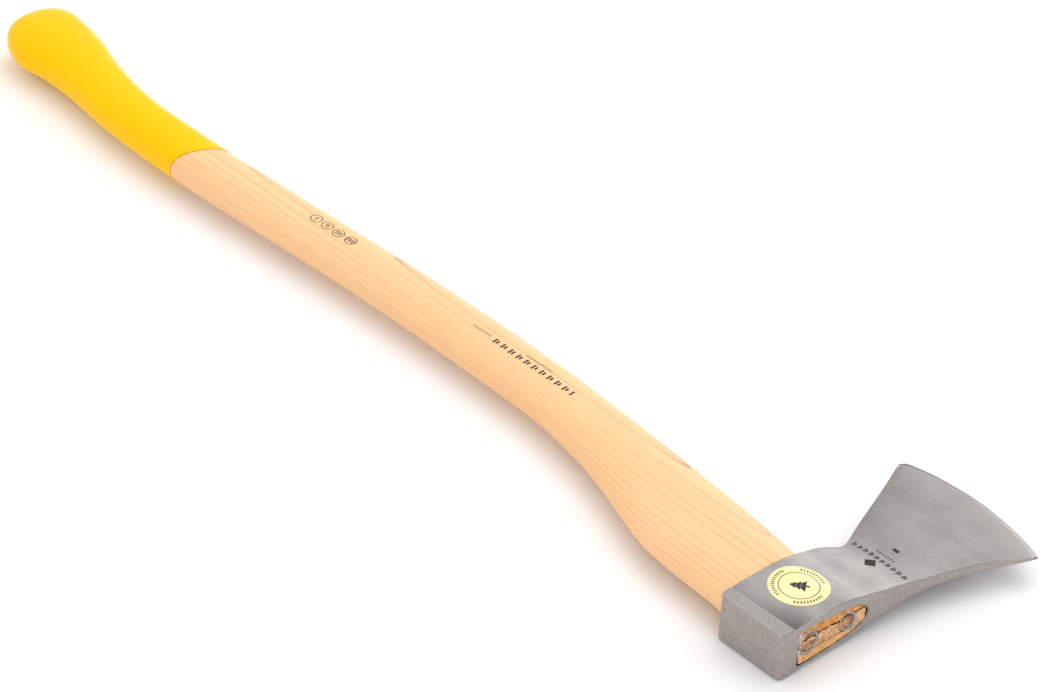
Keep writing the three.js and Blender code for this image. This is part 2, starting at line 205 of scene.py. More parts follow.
def shade(ob, degrees=35.0):
    bm = bmesh.new()
    bm.from_mesh(ob.data)
    lim = math.radians(degrees)
    for f in bm.faces:
        f.smooth = True
    for e in bm.edges:
        e.smooth = not (len(e.link_faces) == 2 and e.calc_face_angle(0.0) > lim)
    bm.to_mesh(ob.data)
    bm.free()


def attribute(ob, name, values):
    a = ob.data.attributes.get(name) or ob.data.attributes.new(name, "FLOAT", "POINT")
    a.data.foreach_set("value", np.asarray(values, np.float32))


def verts_mm(ob):
    co = np.zeros(len(ob.data.vertices) * 3, np.float32)
    ob.data.vertices.foreach_get("co", co)
    return co.reshape(-1, 3).astype(float) * 1000.0 - np.array([DX, DY, DZ])


def finish_piece(ob, node, mat, angle=35.0, replaces=True):
    shade(ob, angle)
    ob.data.materials.clear()
    ob.data.materials.append(mat)
    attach(ob, "root")
    if replaces:
        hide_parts(node)
    return ob


# ---------------------------------------------------------------------------
# node material helpers
# ---------------------------------------------------------------------------
def srgb(r, g, b, a=1.0):
    def f(c):
        c /= 255.0
        return c / 12.92 if c <= 0.04045 else ((c + 0.055) / 1.055) ** 2.4
    return (f(r), f(g), f(b), a)


class Mat:
    def __init__(self, name):
        self.m = bpy.data.materials.new(name)
        self.m.use_nodes = True
        self.t = self.m.node_tree
        self.t.nodes.clear()
        self.out = self.t.nodes.new("ShaderNodeOutputMaterial")
        self.b = self.t.nodes.new("ShaderNodeBsdfPrincipled")
        self.link(self.b.outputs[0], self.out.inputs["Surface"])
        tc = self.t.nodes.new("ShaderNodeTexCoord")
        self.obj = tc.outputs["Object"]

    def link(self, a, b):
        self.t.links.new(a, b)

    def put(self, socket, value):
        if isinstance(value, bpy.types.NodeSocket):
            self.link(value, socket)
        else:
            socket.default_value = value

    def math(self, op, a, b=0.0, c=0.0, clamp=False):
        n = self.t.nodes.new("ShaderNodeMath")
        n.operation = op
        n.use_clamp = clamp
        for i, v in enumerate((a, b, c)):
            if i < len(n.inputs):
                self.put(n.inputs[i], v)
        return n.outputs[0]

    def mapping(self, scale=(1, 1, 1), rot=(0, 0, 0), loc=(0, 0, 0), vec=None):
        n = self.t.nodes.new("ShaderNodeMapping")
        self.put(n.inputs["Vector"], vec or self.obj)
        n.inputs["Scale"].default_value = scale
        n.inputs["Rotation"].default_value = rot
        n.inputs["Location"].default_value = loc
        return n.outputs[0]

    def noise(self, vec, scale=1.0, detail=4.0, rough=0.5, dist=0.0, out="Fac"):
        n = self.t.nodes.new("ShaderNodeTexNoise")
        self.put(n.inputs["Vector"], vec)
        n.inputs["Scale"].default_value = scale
        n.inputs["Detail"].default_value = detail
        n.inputs["Roughness"].default_value = rough
        n.inputs["Distortion"].default_value = dist
        return n.outputs[out]

    def voronoi(self, vec, scale=1.0, feature="F1", out="Distance", rand=1.0):
        n = self.t.nodes.new("ShaderNodeTexVoronoi")
        n.feature = feature
        self.put(n.inputs["Vector"], vec)
        n.inputs["Scale"].default_value = scale
        n.inputs["Randomness"].default_value = rand
        return n.outputs[out]

    def ramp(self, fac, stops, interp="LINEAR"):
        n = self.t.nodes.new("ShaderNodeValToRGB")
        self.put(n.inputs[0], fac)
        cr = n.color_ramp
        cr.interpolation = interp
        while len(cr.elements) > 1:
            cr.elements.remove(cr.elements[-1])
        cr.elements[0].position = stops[0][0]
        cr.elements[0].color = stops[0][1]
        for p, c in stops[1:]:
            e = cr.elements.new(p)
            e.color = c
        return n.outputs[0]

    def range(self, v, a, b, c=0.0, d=1.0, clamp=True, smooth=False):
        n = self.t.nodes.new("ShaderNodeMapRange")
        n.clamp = clamp
        if smooth:
            n.interpolation_type = "SMOOTHSTEP"
        for key, val in (("Value", v), ("From Min", a), ("From Max", b), ("To Min", c), ("To Max", d)):
            self.put(n.inputs[key], val)
        return n.outputs[0]

    def mix(self, fac, a, b, blend="MIX"):
        n = self.t.nodes.new("ShaderNodeMix")
        n.data_type = "RGBA"
        n.blend_type = blend
        self.put(n.inputs[0], fac)
        self.put(n.inputs[6], a)
        self.put(n.inputs[7], b)
        return n.outputs[2]

    def xyz(self, vec):
        n = self.t.nodes.new("ShaderNodeSeparateXYZ")
        self.put(n.inputs[0], vec)
        return n.outputs

    def combine(self, x, y, z):
        n = self.t.nodes.new("ShaderNodeCombineXYZ")
        for i, v in enumerate((x, y, z)):
            self.put(n.inputs[i], v)
        return n.outputs[0]

    def attr(self, name):
        n = self.t.nodes.new("ShaderNodeAttribute")
        n.attribute_name = name
        return n.outputs["Fac"]

    def normal(self):
        return self.t.nodes.new("ShaderNodeNewGeometry").outputs["Normal"]

    def bump(self, height, strength=0.3, distance=0.001, normal=None):
        n = self.t.nodes.new("ShaderNodeBump")
        self.put(n.inputs["Height"], height)
        n.inputs["Strength"].default_value = strength
        n.inputs["Distance"].default_value = distance
        if normal is not None:
            self.link(normal, n.inputs["Normal"])
        return n.outputs[0]


# ---------------------------------------------------------------------------
# materials
# ---------------------------------------------------------------------------
def wood_rings(M, tilt=0.42, pitch=0.0030, wander=0.0012):
    """distance across growth rings, in rings, for a blank whose rings run
    along the handle and lean across its section"""
    low = M.noise(M.mapping(scale=(9, 1.5, 9)), 1.0, 2.0, 0.5)
    low2 = M.noise(M.mapping(scale=(55, 6, 55), loc=(3, 1, 2)), 1.0, 3.0, 0.5)
    x, y, z = M.xyz(M.obj)
    d = M.math("ADD", M.math("MULTIPLY", x, math.sin(tilt)), M.math("MULTIPLY", z, math.cos(tilt)))
    d = M.math("ADD", d, M.math("MULTIPLY", M.math("SUBTRACT", low, 0.5), 0.010))
    d = M.math("ADD", d, M.math("MULTIPLY", M.math("SUBTRACT", low2, 0.5), wander))
    return M.math("SUBTRACT", M.math("DIVIDE", d, pitch), 0.2)


def make_wood():
    M = Mat("ash_wood")
    r = wood_rings(M)
    frac = M.math("FRACT", r)
    # each ring starts with a thin porous line that fades into pale late wood
    line = M.ramp(frac, [(0.0, (1, 1, 1, 1)), (0.045, (0.85, 0.85, 0.85, 1)), (0.085, (0.22, 0.22, 0.22, 1)),
                         (0.30, (0.06, 0.06, 0.06, 1)), (0.965, (0.0, 0.0, 0.0, 1)), (0.985, (0.85, 0.85, 0.85, 1)), (1.0, (1, 1, 1, 1))])
    which = M.noise(M.combine(M.math("FLOOR", r), 0.0, 0.0), 3.7, 0.0)
    strength = M.range(which, 0.3, 0.7, 0.2, 1.0)
    fade = M.noise(M.mapping(scale=(30, 2.6, 30), loc=(5, 5, 5)), 1.0, 3.0, 0.6)
    line = M.math("MULTIPLY", M.math("MULTIPLY", line, strength), M.range(fade, 0.34, 0.56, 0.35, 1.0))
    fibre = M.noise(M.mapping(scale=(1300, 22, 1300)), 1.0, 5.0, 0.65)
    fibre2 = M.noise(M.mapping(scale=(420, 6, 420), loc=(1, 2, 3)), 1.0, 4.0, 0.6)
    fleck = M.noise(M.mapping(scale=(900, 60, 900), loc=(4, 1, 2)), 1.0, 2.0, 0.5)
    tone = M.noise(M.mapping(scale=(16, 2.4, 16), loc=(7, 0, 0)), 1.0, 3.0, 0.5)
    pale, mid, warm = srgb(251, 203, 150), srgb(247, 195, 138), srgb(238, 176, 116)
    base = M.mix(M.range(tone, 0.35, 0.68), pale, mid)
    base = M.mix(M.math("MULTIPLY", M.range(fibre2, 0.42, 0.72), 0.32), base, warm)
    base = M.mix(M.math("MULTIPLY", line, 0.78), base, srgb(182, 122, 76))
    base = M.mix(M.math("MULTIPLY", M.range(fibre, 0.52, 0.72), 0.26), base, srgb(206, 144, 92))
    base = M.mix(M.math("MULTIPLY", M.range(fleck, 0.64, 0.74), 0.22), base, srgb(206, 140, 90))
    # end grain where the wood is sawn across, in the mouth of the eye
    nx, ny, nzz = M.xyz(M.normal())
    x, y, z = M.xyz(M.obj)
    end = M.math("MULTIPLY", M.range(ny, -0.55, -0.8), M.range(y, (DY + 30) / 1000, (DY + 29) / 1000))
    pores = M.voronoi(M.mapping(scale=(1, 0.2, 1)), 1500.0)
    blot = M.noise(M.mapping(scale=(210, 210, 210)), 1.0, 4.0, 0.6)
    blot2 = M.noise(M.mapping(scale=(620, 300, 480), loc=(1, 7, 3)), 1.0, 4.0, 0.65)
    endc = M.ramp(blot, [(0.30, srgb(172, 100, 44)), (0.45, srgb(208, 134, 62)), (0.58, srgb(224, 154, 80)), (0.72, srgb(238, 184, 118))])
    endc = M.mix(M.math("MULTIPLY", M.range(blot2, 0.55, 0.72), 0.75), endc, srgb(246, 208, 154))
    endc = M.mix(M.math("MULTIPLY", M.range(blot2, 0.45, 0.30), 0.7), endc, srgb(138, 74, 36))
    endc = M.mix(M.math("MULTIPLY", M.range(pores, 0.32, 0.1), 0.5), endc, srgb(112, 62, 30))
    endc = M.mix(M.math("MULTIPLY", line, 0.4), endc, srgb(128, 74, 36))
    # painted light: the end grain is made lighter toward its low side, to offset the shade that falls there
    endc = M.mix(M.math("MULTIPLY", M.range(z, (DZ + 2) / 1000, (DZ - 6) / 1000), 0.32), endc, srgb(246, 204, 146))
    crushed = M.range(x, (DX + 18.6) / 1000, (DX + 15.6) / 1000)
    endc = M.mix(M.math("MULTIPLY", crushed, M.range(blot2, 0.3, 0.6, 0.45, 0.95)), endc, srgb(240, 204, 180))
    base = M.mix(end, base, endc)
    # painted shade: the inner walls of the eye and kerf, and the wood just below the mouth of the eye, are darkened to
    # stand in for the shade there
    deep_shade = M.math("MULTIPLY", M.range(y, (DY + 0.9) / 1000, (DY + 2.3) / 1000), M.range(y, (DY + 54) / 1000, (DY + 53) / 1000))
    wall_shade = M.math("MULTIPLY", M.range(ny, -0.62, -0.35), M.range(y, (DY + 0.1) / 1000, (DY + 0.55) / 1000))
    wall_shade = M.math("MULTIPLY", wall_shade, M.range(x, (DX + 16.5) / 1000, (DX + 18.5) / 1000))
    wall_shade = M.math("MULTIPLY", wall_shade, M.range(y, (DY + 54) / 1000, (DY + 53) / 1000))
    base = M.mix(M.math("MULTIPLY", wall_shade, 0.82), base, srgb(64, 36, 20))
    base = M.mix(M.math("MULTIPLY", deep_shade, 0.8), base, srgb(60, 36, 20))
    M.link(base, M.b.inputs["Base Color"])
    rough = M.range(fibre, 0.3, 0.8, 0.40, 0.58)
    M.link(M.math("ADD", rough, M.math("MULTIPLY", end, 0.3), clamp=True), M.b.inputs["Roughness"])
    M.b.inputs["Specular IOR Level"].default_value = 0.35
    M.b.inputs["Coat Weight"].default_value = 0.12
    M.b.inputs["Coat Roughness"].default_value = 0.35
    h = M.math("ADD", M.math("MULTIPLY", fibre, 0.6), M.math("MULTIPLY", line, -0.5))
    h = M.math("ADD", h, M.math("MULTIPLY", M.math("MULTIPLY", blot, end), 2.0))
    M.link(M.bump(h, 0.25, 0.0003), M.b.inputs["Normal"])
    return M.m


def make_wedge_wood():
    M = Mat("wedge_wood")
    blot = M.noise(M.mapping(scale=(230, 230, 330)), 1.0, 5.0, 0.65)
    streak = M.noise(M.mapping(scale=(160, 60, 620), loc=(2, 3, 4)), 1.0, 4.0, 0.6)
    base = M.ramp(blot, [(0.30, srgb(176, 106, 62)), (0.44, srgb(208, 150, 104)), (0.56, srgb(226, 180, 138)), (0.70, srgb(246, 214, 180))])
    crumb = M.noise(M.mapping(scale=(700, 420, 560), loc=(6, 2, 1)), 1.0, 4.0, 0.65)
    base = M.mix(M.math("MULTIPLY", M.range(crumb, 0.56, 0.70), 0.8), base, srgb(252, 222, 186))
    base = M.mix(M.math("MULTIPLY", M.range(crumb, 0.45, 0.32), 0.75), base, srgb(150, 86, 50))
    base = M.mix(M.math("MULTIPLY", M.range(streak, 0.55, 0.75), 0.6), base, srgb(176, 116, 72))
    pores = M.voronoi(M.obj, 1300.0)
    base = M.mix(M.math("MULTIPLY", M.range(pores, 0.3, 0.1), 0.5), base, srgb(128, 78, 46))
    x, y, z = M.xyz(M.obj)
    crushed = M.range(x, (DX + 17.6) / 1000, (DX + 14.8) / 1000)
    tip = M.range(x, (DX + 63.0) / 1000, (DX + 66.0) / 1000)
    base = M.mix(M.math("MULTIPLY", crushed, 0.8), base, srgb(240, 204, 180))
    base = M.mix(M.math("MULTIPLY", tip, 0.45), base, srgb(240, 198, 146))
    # painted shade: the wedge is darkened below its end face and on the walls of its gap, where shade falls
    deep_shade = M.range(y, (DY + 1.0) / 1000, (DY + 2.6) / 1000)
    nx, ny, nzz = M.xyz(M.normal())
    wall_shade = M.math("MULTIPLY", M.range(ny, -0.62, -0.35), M.range(y, (DY + 0.1) / 1000, (DY + 0.55) / 1000))
    wall_shade = M.math("MULTIPLY", wall_shade, M.range(x, (DX + 16.5) / 1000, (DX + 18.5) / 1000))
    base = M.mix(M.math("MULTIPLY", wall_shade, 0.82), base, srgb(58, 34, 20))
    base = M.mix(M.math("MULTIPLY", deep_shade, 0.9), base, srgb(46, 28, 17))
    M.link(base, M.b.inputs["Base Color"])
    M.link(M.range(blot, 0.3, 0.7, 0.7, 0.9), M.b.inputs["Roughness"])
    M.b.inputs["Specular IOR Level"].default_value = 0.25
    M.link(M.bump(M.math("ADD", blot, M.math("MULTIPLY", streak, 0.6)), 0.7, 0.0007), M.b.inputs["Normal"])
    return M.m


def make_steel():
    M = Mat("forged_steel")
    nx, ny, nzz = M.xyz(M.normal())
    x, y, z = M.xyz(M.obj)
    forged, edge, wear = M.attr("forged"), M.attr("edge"), M.attr("wear")
    rim, dip, glow, eye = M.attr("rim"), M.attr("dip"), M.attr("glow"), M.attr("eye")
    cloud = M.noise(M.mapping(scale=(20, 20, 20)), 1.0, 3.0, 0.55)
    cloud2 = M.noise(M.mapping(scale=(80, 34, 80), rot=(0, 0, 0.5), loc=(4, 4, 4)), 1.0, 4.0, 0.6)
    grind = M.noise(M.mapping(scale=(110, 2200, 110), rot=(0, 0, 0.16)), 1.0, 4.0, 0.7)
    grind2 = M.noise(M.mapping(scale=(45, 700, 45), rot=(0, 0, -0.35), loc=(2, 0, 1)), 1.0, 3.0, 0.6)
    speck = M.noise(M.mapping(scale=(1500, 1500, 1500)), 1.0, 2.0, 0.6)
    grit = M.noise(M.mapping(scale=(1150, 1150, 1150), loc=(5, 5, 1)), 1.0, 3.0, 0.55)
    scale_ = M.noise(M.mapping(scale=(520, 520, 520), loc=(9, 1, 1)), 1.0, 4.0, 0.62)
    satin = M.ramp(M.math("ADD", M.math("MULTIPLY", cloud, 0.6), M.math("MULTIPLY", cloud2, 0.4)),
                   [(0.32, srgb(132, 127, 125)), (0.46, srgb(148, 143, 141)), (0.56, srgb(160, 155, 153)), (0.68, srgb(172, 167, 164)) ])
    satin = M.mix(M.math("MULTIPLY", M.range(grind, 0.42, 0.7), 0.34), satin, srgb(184, 180, 178))
    satin = M.mix(M.math("MULTIPLY", M.range(grind2, 0.5, 0.72), 0.30), satin, srgb(128, 123, 122))
    blade = M.range(x, (DX + 90) / 1000, (DX + 124) / 1000, smooth=True)
    body = M.range(x, (DX + 92) / 1000, (DX + 70) / 1000, smooth=True)
    satin = M.mix(M.math("MULTIPLY", body, 0.14), satin, srgb(108, 103, 101))
    satin = M.mix(M.math("MULTIPLY", blade, 0.42), satin, srgb(122, 117, 116))
    satin = M.mix(M.math("MULTIPLY", glow, 0.25), satin, srgb(160, 154, 151))
    # painted shade: the shallow dip behind the poll's rim is darkened
    satin = M.mix(M.math("MULTIPLY", dip, 0.92), satin, srgb(92, 88, 86))
    band = M.ramp(grit, [(0.32, srgb(140, 136, 133)), (0.48, srgb(154, 150, 146)), (0.6, srgb(162, 158, 154)), (0.75, srgb(192, 188, 184))])
    satin = M.mix(M.math("MULTIPLY", rim, 0.9), satin, band)
    dark = M.ramp(scale_, [(0.3, srgb(158, 150, 147)), (0.5, srgb(172, 164, 160)), (0.62, srgb(180, 172, 168)), (0.78, srgb(190, 182, 178))])
    dark = M.mix(M.math("MULTIPLY", M.range(cloud2, 0.42, 0.7), 0.3), dark, srgb(188, 179, 174))
    base = M.mix(forged, satin, dark)
    base = M.mix(M.math("MULTIPLY", M.range(speck, 0.6, 0.78), 0.2), base, srgb(122, 116, 114))
    base = M.mix(M.math("MULTIPLY", wear, M.range(speck, 0.25, 0.6, 0.1, 0.45)), base, srgb(190, 186, 182))
    base = M.mix(M.math("MULTIPLY", edge, 0.9), base, srgb(108, 104, 102))
    # painted shade and dirt darken the wall of the eye
    base = M.mix(M.math("MULTIPLY", eye, 0.85), base, srgb(46, 40, 37))
    M.link(base, M.b.inputs["Base Color"])
    M.b.inputs["Metallic"].default_value = 1.0
    rough = M.range(cloud2, 0.3, 0.7, 0.40, 0.48)
    rough = M.math("ADD", rough, M.math("MULTIPLY", M.math("SUBTRACT", grind, 0.5), 0.16))
    rough = M.math("ADD", rough, M.math("MULTIPLY", M.math("MAXIMUM", forged, rim), 0.14))
    rough = M.math("SUBTRACT", rough, M.math("MULTIPLY", edge, 0.10), clamp=True)
    M.link(rough, M.b.inputs["Roughness"])
    fine = M.math("ADD", M.math("MULTIPLY", grind, 0.5), M.math("MULTIPLY", speck, 0.35))
    coarse = M.math("MULTIPLY", M.math("ADD", M.math("MULTIPLY", scale_, 0.7), M.math("MULTIPLY", speck, 0.4)), M.math("MAXIMUM", forged, rim))
    n1 = M.bump(fine, 0.16, 0.00012)
    n2 = M.bump(coarse, 0.5, 0.0004, n1)
    M.link(n2, M.b.inputs["Normal"])
    return M.m


def make_ring_steel():
    M = Mat("ring_steel")
    c = M.noise(M.mapping(scale=(300, 300, 300)), 1.0, 4.0, 0.6)
    s = M.noise(M.mapping(scale=(1400, 1400, 1400)), 1.0, 2.0, 0.6)
    base = M.ramp(c, [(0.3, srgb(120, 124, 126)), (0.5, srgb(158, 162, 164)), (0.68, srgb(190, 194, 194))])
    base = M.mix(M.math("MULTIPLY", M.range(s, 0.55, 0.75), 0.5), base, srgb(96, 88, 80))
    x, y, z = M.xyz(M.obj)
    # painted shade: the ring is darkened where it goes down into the wood
    deep_shade = M.range(y, (DY + 1.4) / 1000, (DY + 3.2) / 1000)
    base = M.mix(M.math("MULTIPLY", deep_shade, 0.8), base, srgb(60, 52, 46))
    M.link(base, M.b.inputs["Base Color"])
    M.b.inputs["Metallic"].default_value = 1.0
    M.link(M.range(c, 0.3, 0.7, 0.28, 0.5), M.b.inputs["Roughness"])
    M.link(M.bump(M.math("ADD", c, M.math("MULTIPLY", s, 0.4)), 0.5, 0.0004), M.b.inputs["Normal"])
    return M.m


def make_coat():
    M = Mat("yellow_dip")
    a = M.noise(M.mapping(scale=(16, 5, 16)), 1.0, 3.0, 0.5)
    grain = M.noise(M.mapping(scale=(300, 7, 300), loc=(1, 1, 1)), 1.0, 3.0, 0.55)
    peel = M.noise(M.mapping(scale=(420, 420, 420)), 1.0, 2.0, 0.5)
    r = wood_rings(M)
    frac = M.math("FRACT", r)
    ridge = M.ramp(frac, [(0.0, (1, 1, 1, 1)), (0.05, (0.5, 0.5, 0.5, 1)), (0.16, (0, 0, 0, 1)), (0.9, (0, 0, 0, 1)), (1.0, (1, 1, 1, 1))])
    lip = M.attr("lip")
    base = M.mix(M.range(a, 0.35, 0.68), srgb(255, 200, 0), srgb(255, 194, 0))
    base = M.mix(M.math("MULTIPLY", M.range(grain, 0.5, 0.75), 0.2), base, srgb(246, 184, 0))
    base = M.mix(M.math("MULTIPLY", ridge, 0.16), base, srgb(242, 178, 0))
    base = M.mix(M.math("MULTIPLY", lip, 0.3), base, srgb(240, 176, 0))
    speck = M.voronoi(M.obj, 300.0)
    base = M.mix(M.math("MULTIPLY", M.range(speck, 0.06, 0.03), 0.35), base, srgb(214, 166, 10))
    M.link(base, M.b.inputs["Base Color"])
    M.link(M.range(a, 0.3, 0.7, 0.20, 0.27), M.b.inputs["Roughness"])
    M.b.inputs["Specular IOR Level"].default_value = 0.10
    h = M.math("ADD", M.math("MULTIPLY", grain, 1.0), M.math("MULTIPLY", peel, 0.3))
    h = M.math("ADD", h, M.math("MULTIPLY", ridge, 0.5))
    M.link(M.bump(h, 0.3, 0.0003), M.b.inputs["Normal"])
    return M.m


def make_label():
    M = Mat("label_film")
    a = M.noise(M.mapping(scale=(90, 90, 90)), 1.0, 4.0, 0.6)
    f = M.noise(M.mapping(scale=(1600, 1600, 1600)), 1.0, 2.0, 0.5)
    rim = M.attr("rim")
    base = M.mix(M.range(a, 0.35, 0.7), srgb(255, 236, 175), srgb(252, 231, 162))
    base = M.mix(M.math("MULTIPLY", M.range(f, 0.5, 0.75), 0.15), base, srgb(226, 210, 128))
    base = M.mix(M.math("MULTIPLY", rim, 0.5), base, srgb(222, 208, 140))
    M.link(base, M.b.inputs["Base Color"])
    M.link(M.range(a, 0.3, 0.7, 0.38, 0.5), M.b.inputs["Roughness"])
    M.b.inputs["Coat Weight"].default_value = 0.15
    M.link(M.bump(f, 0.12, 0.0001), M.b.inputs["Normal"])
    return M.m


def make_ink(name, dark, light, worn, metallic=0.0):
    M = Mat(name)
    a = M.noise(M.mapping(scale=(700, 700, 700)), 1.0, 4.0, 0.65)
    b = M.noise(M.mapping(scale=(180, 180, 180), loc=(3, 3, 3)), 1.0, 3.0, 0.5)
    k = M.math("ADD", M.math("MULTIPLY", a, 0.65), M.math("MULTIPLY", b, 0.35))
    base = M.mix(M.range(k, 0.5, 0.72), dark, light)
    M.link(base, M.b.inputs["Base Color"])
    M.b.inputs["Metallic"].default_value = metallic
    M.link(M.range(a, 0.3, 0.7, 0.5, 0.75), M.b.inputs["Roughness"])
    M.link(M.bump(a, worn, 0.0002), M.b.inputs["Normal"])
    return M.m


# ---------------------------------------------------------------------------
# head
# ---------------------------------------------------------------------------
toe_side = pchip([[0, 0], [60, 0], [75, -0.3], [83, -1.0], [100, -2.3], [116, -4.6],
                  [138, -9.4], [158, -15.8], [170, -21.0], [180, -25.9], [193.7, TOE_Y]])
heel_side = pchip([[0, 55.1], [66, 55.1], [75, 55.0], [80.6, 54.5], [84.2, 53.7], [87.6, 52.6],
                   [90.7, 51.1], [93.7, 49.5], [97.4, 48.2], [100.4, 48.2], [103.5, 49.1], [106.5, 50.5], [112, 53.2],
                   [117.7, 56.1], [126.2, 60.1], [142.1, 66.9], [157.1, 73.2], [174.5, 81.1], [186, 86.7], [192.4, HEEL_Y]])
cutting_edge = pchip([[TOE_Y, 193.7], [-28.4, 195.2], [-21.2, 197.4], [-9.6, 200.2], [0.9, 202.1],
                      [10.8, 203.3], [20.1, 204.2], [30, EDGE_X], [38.2, 204.5], [46.4, 203.9], [55, 203.2],
                      [62.9, 202.2], [70.4, 200.9], [77.3, 199.1], [84.5, 197.0], [87.9, 195.1], [HEEL_Y, 192.4]])
POLLS = [[POLL_X, 17.4], [10, 17.9], [22, HALF_CHEEK], [44, HALF_CHEEK], [50, 17.9], [56, 17.0], [61, 15.9], [66, 14.7], [71, 13.3]]
half_side = pchip(POLLS + [[76, 12.2], [83, 11.0], [90, 9.6], [100, 7.8], [108, 6.4],
                           [116, 5.4], [126, 4.5], [138, 3.9], [158, 3.5], [170, 3.2]])
half_middle = pchip(POLLS + [[76, 12.4], [83, 11.5], [90, 10.5], [100, 9.0], [108, 8.0],
                             [116, 7.1], [126, 6.2], [138, 5.4], [158, 4.5], [170, 4.1]])


def bulge(t):
    return np.maximum(0.0, 1 - (2 * t - 1) ** 2) ** 0.8


def half_body(t, x):
    return half_side(x) + (half_middle(x) - half_side(x)) * bulge(t)


def cheek_relief(x, y, side):
    """small forged relief of a cheek: a raised rim round the poll, a shallow
    dip behind it that deepens toward the toe side, and hammered unevenness"""
    x = np.asarray(x, float)
    y = np.asarray(y, float)
    line = rim_line(y)
    rim = 0.30 * (1 - smooth(-0.9, 0.9, x - line))
    toe = np.exp(-(np.maximum(y, 0) / 21.0) ** 2)
    back = x - line
    dip = -(0.25 + 0.60 * toe) * smooth(-0.3, 1.4, back) * np.exp(-(np.maximum(back - 1.6, 0) / 8.5) ** 2)
    slope = -0.60 * np.exp(-((x - 26.0) / 12.0) ** 2) * (1 - smooth(0.5, 15.0, y))
    out = rim + dip + slope
    for i in range(len(x)):
        a = 0.035 * nz(x[i] / 13.0, y[i] / 13.0, 3.0 * side, 2.0)
        b = 0.022 * nz(x[i] / 2.6, y[i] / 2.6, 5.0 * side, 4.0) + 0.014 * nz(x[i] / 1.1, y[i] / 1.1, 5.0 * side, 6.0)
        f = 1.0 if x[i] < 75 else max(0.0, 1 - (x[i] - 75) / 60.0)
        rough = float(1 - smooth(-0.5, 2.0, x[i] - line[i]))
        out[i] += a * (0.5 + 0.5 * f) + b * (0.12 + 1.5 * rough)
    return out


def rim_line(y):
    """how far the rough rim of the poll reaches over the cheek"""
    y = np.asarray(y, float)
    return 8.9 - 0.047 * np.clip(y, 0, 60) + 0.35 * np.sin(y / 5.3) * 0.6


low_bevel = pchip([[14, 1.0], [19, 2.7], [48, 2.7], [57, 1.7], [66, 1.0]])


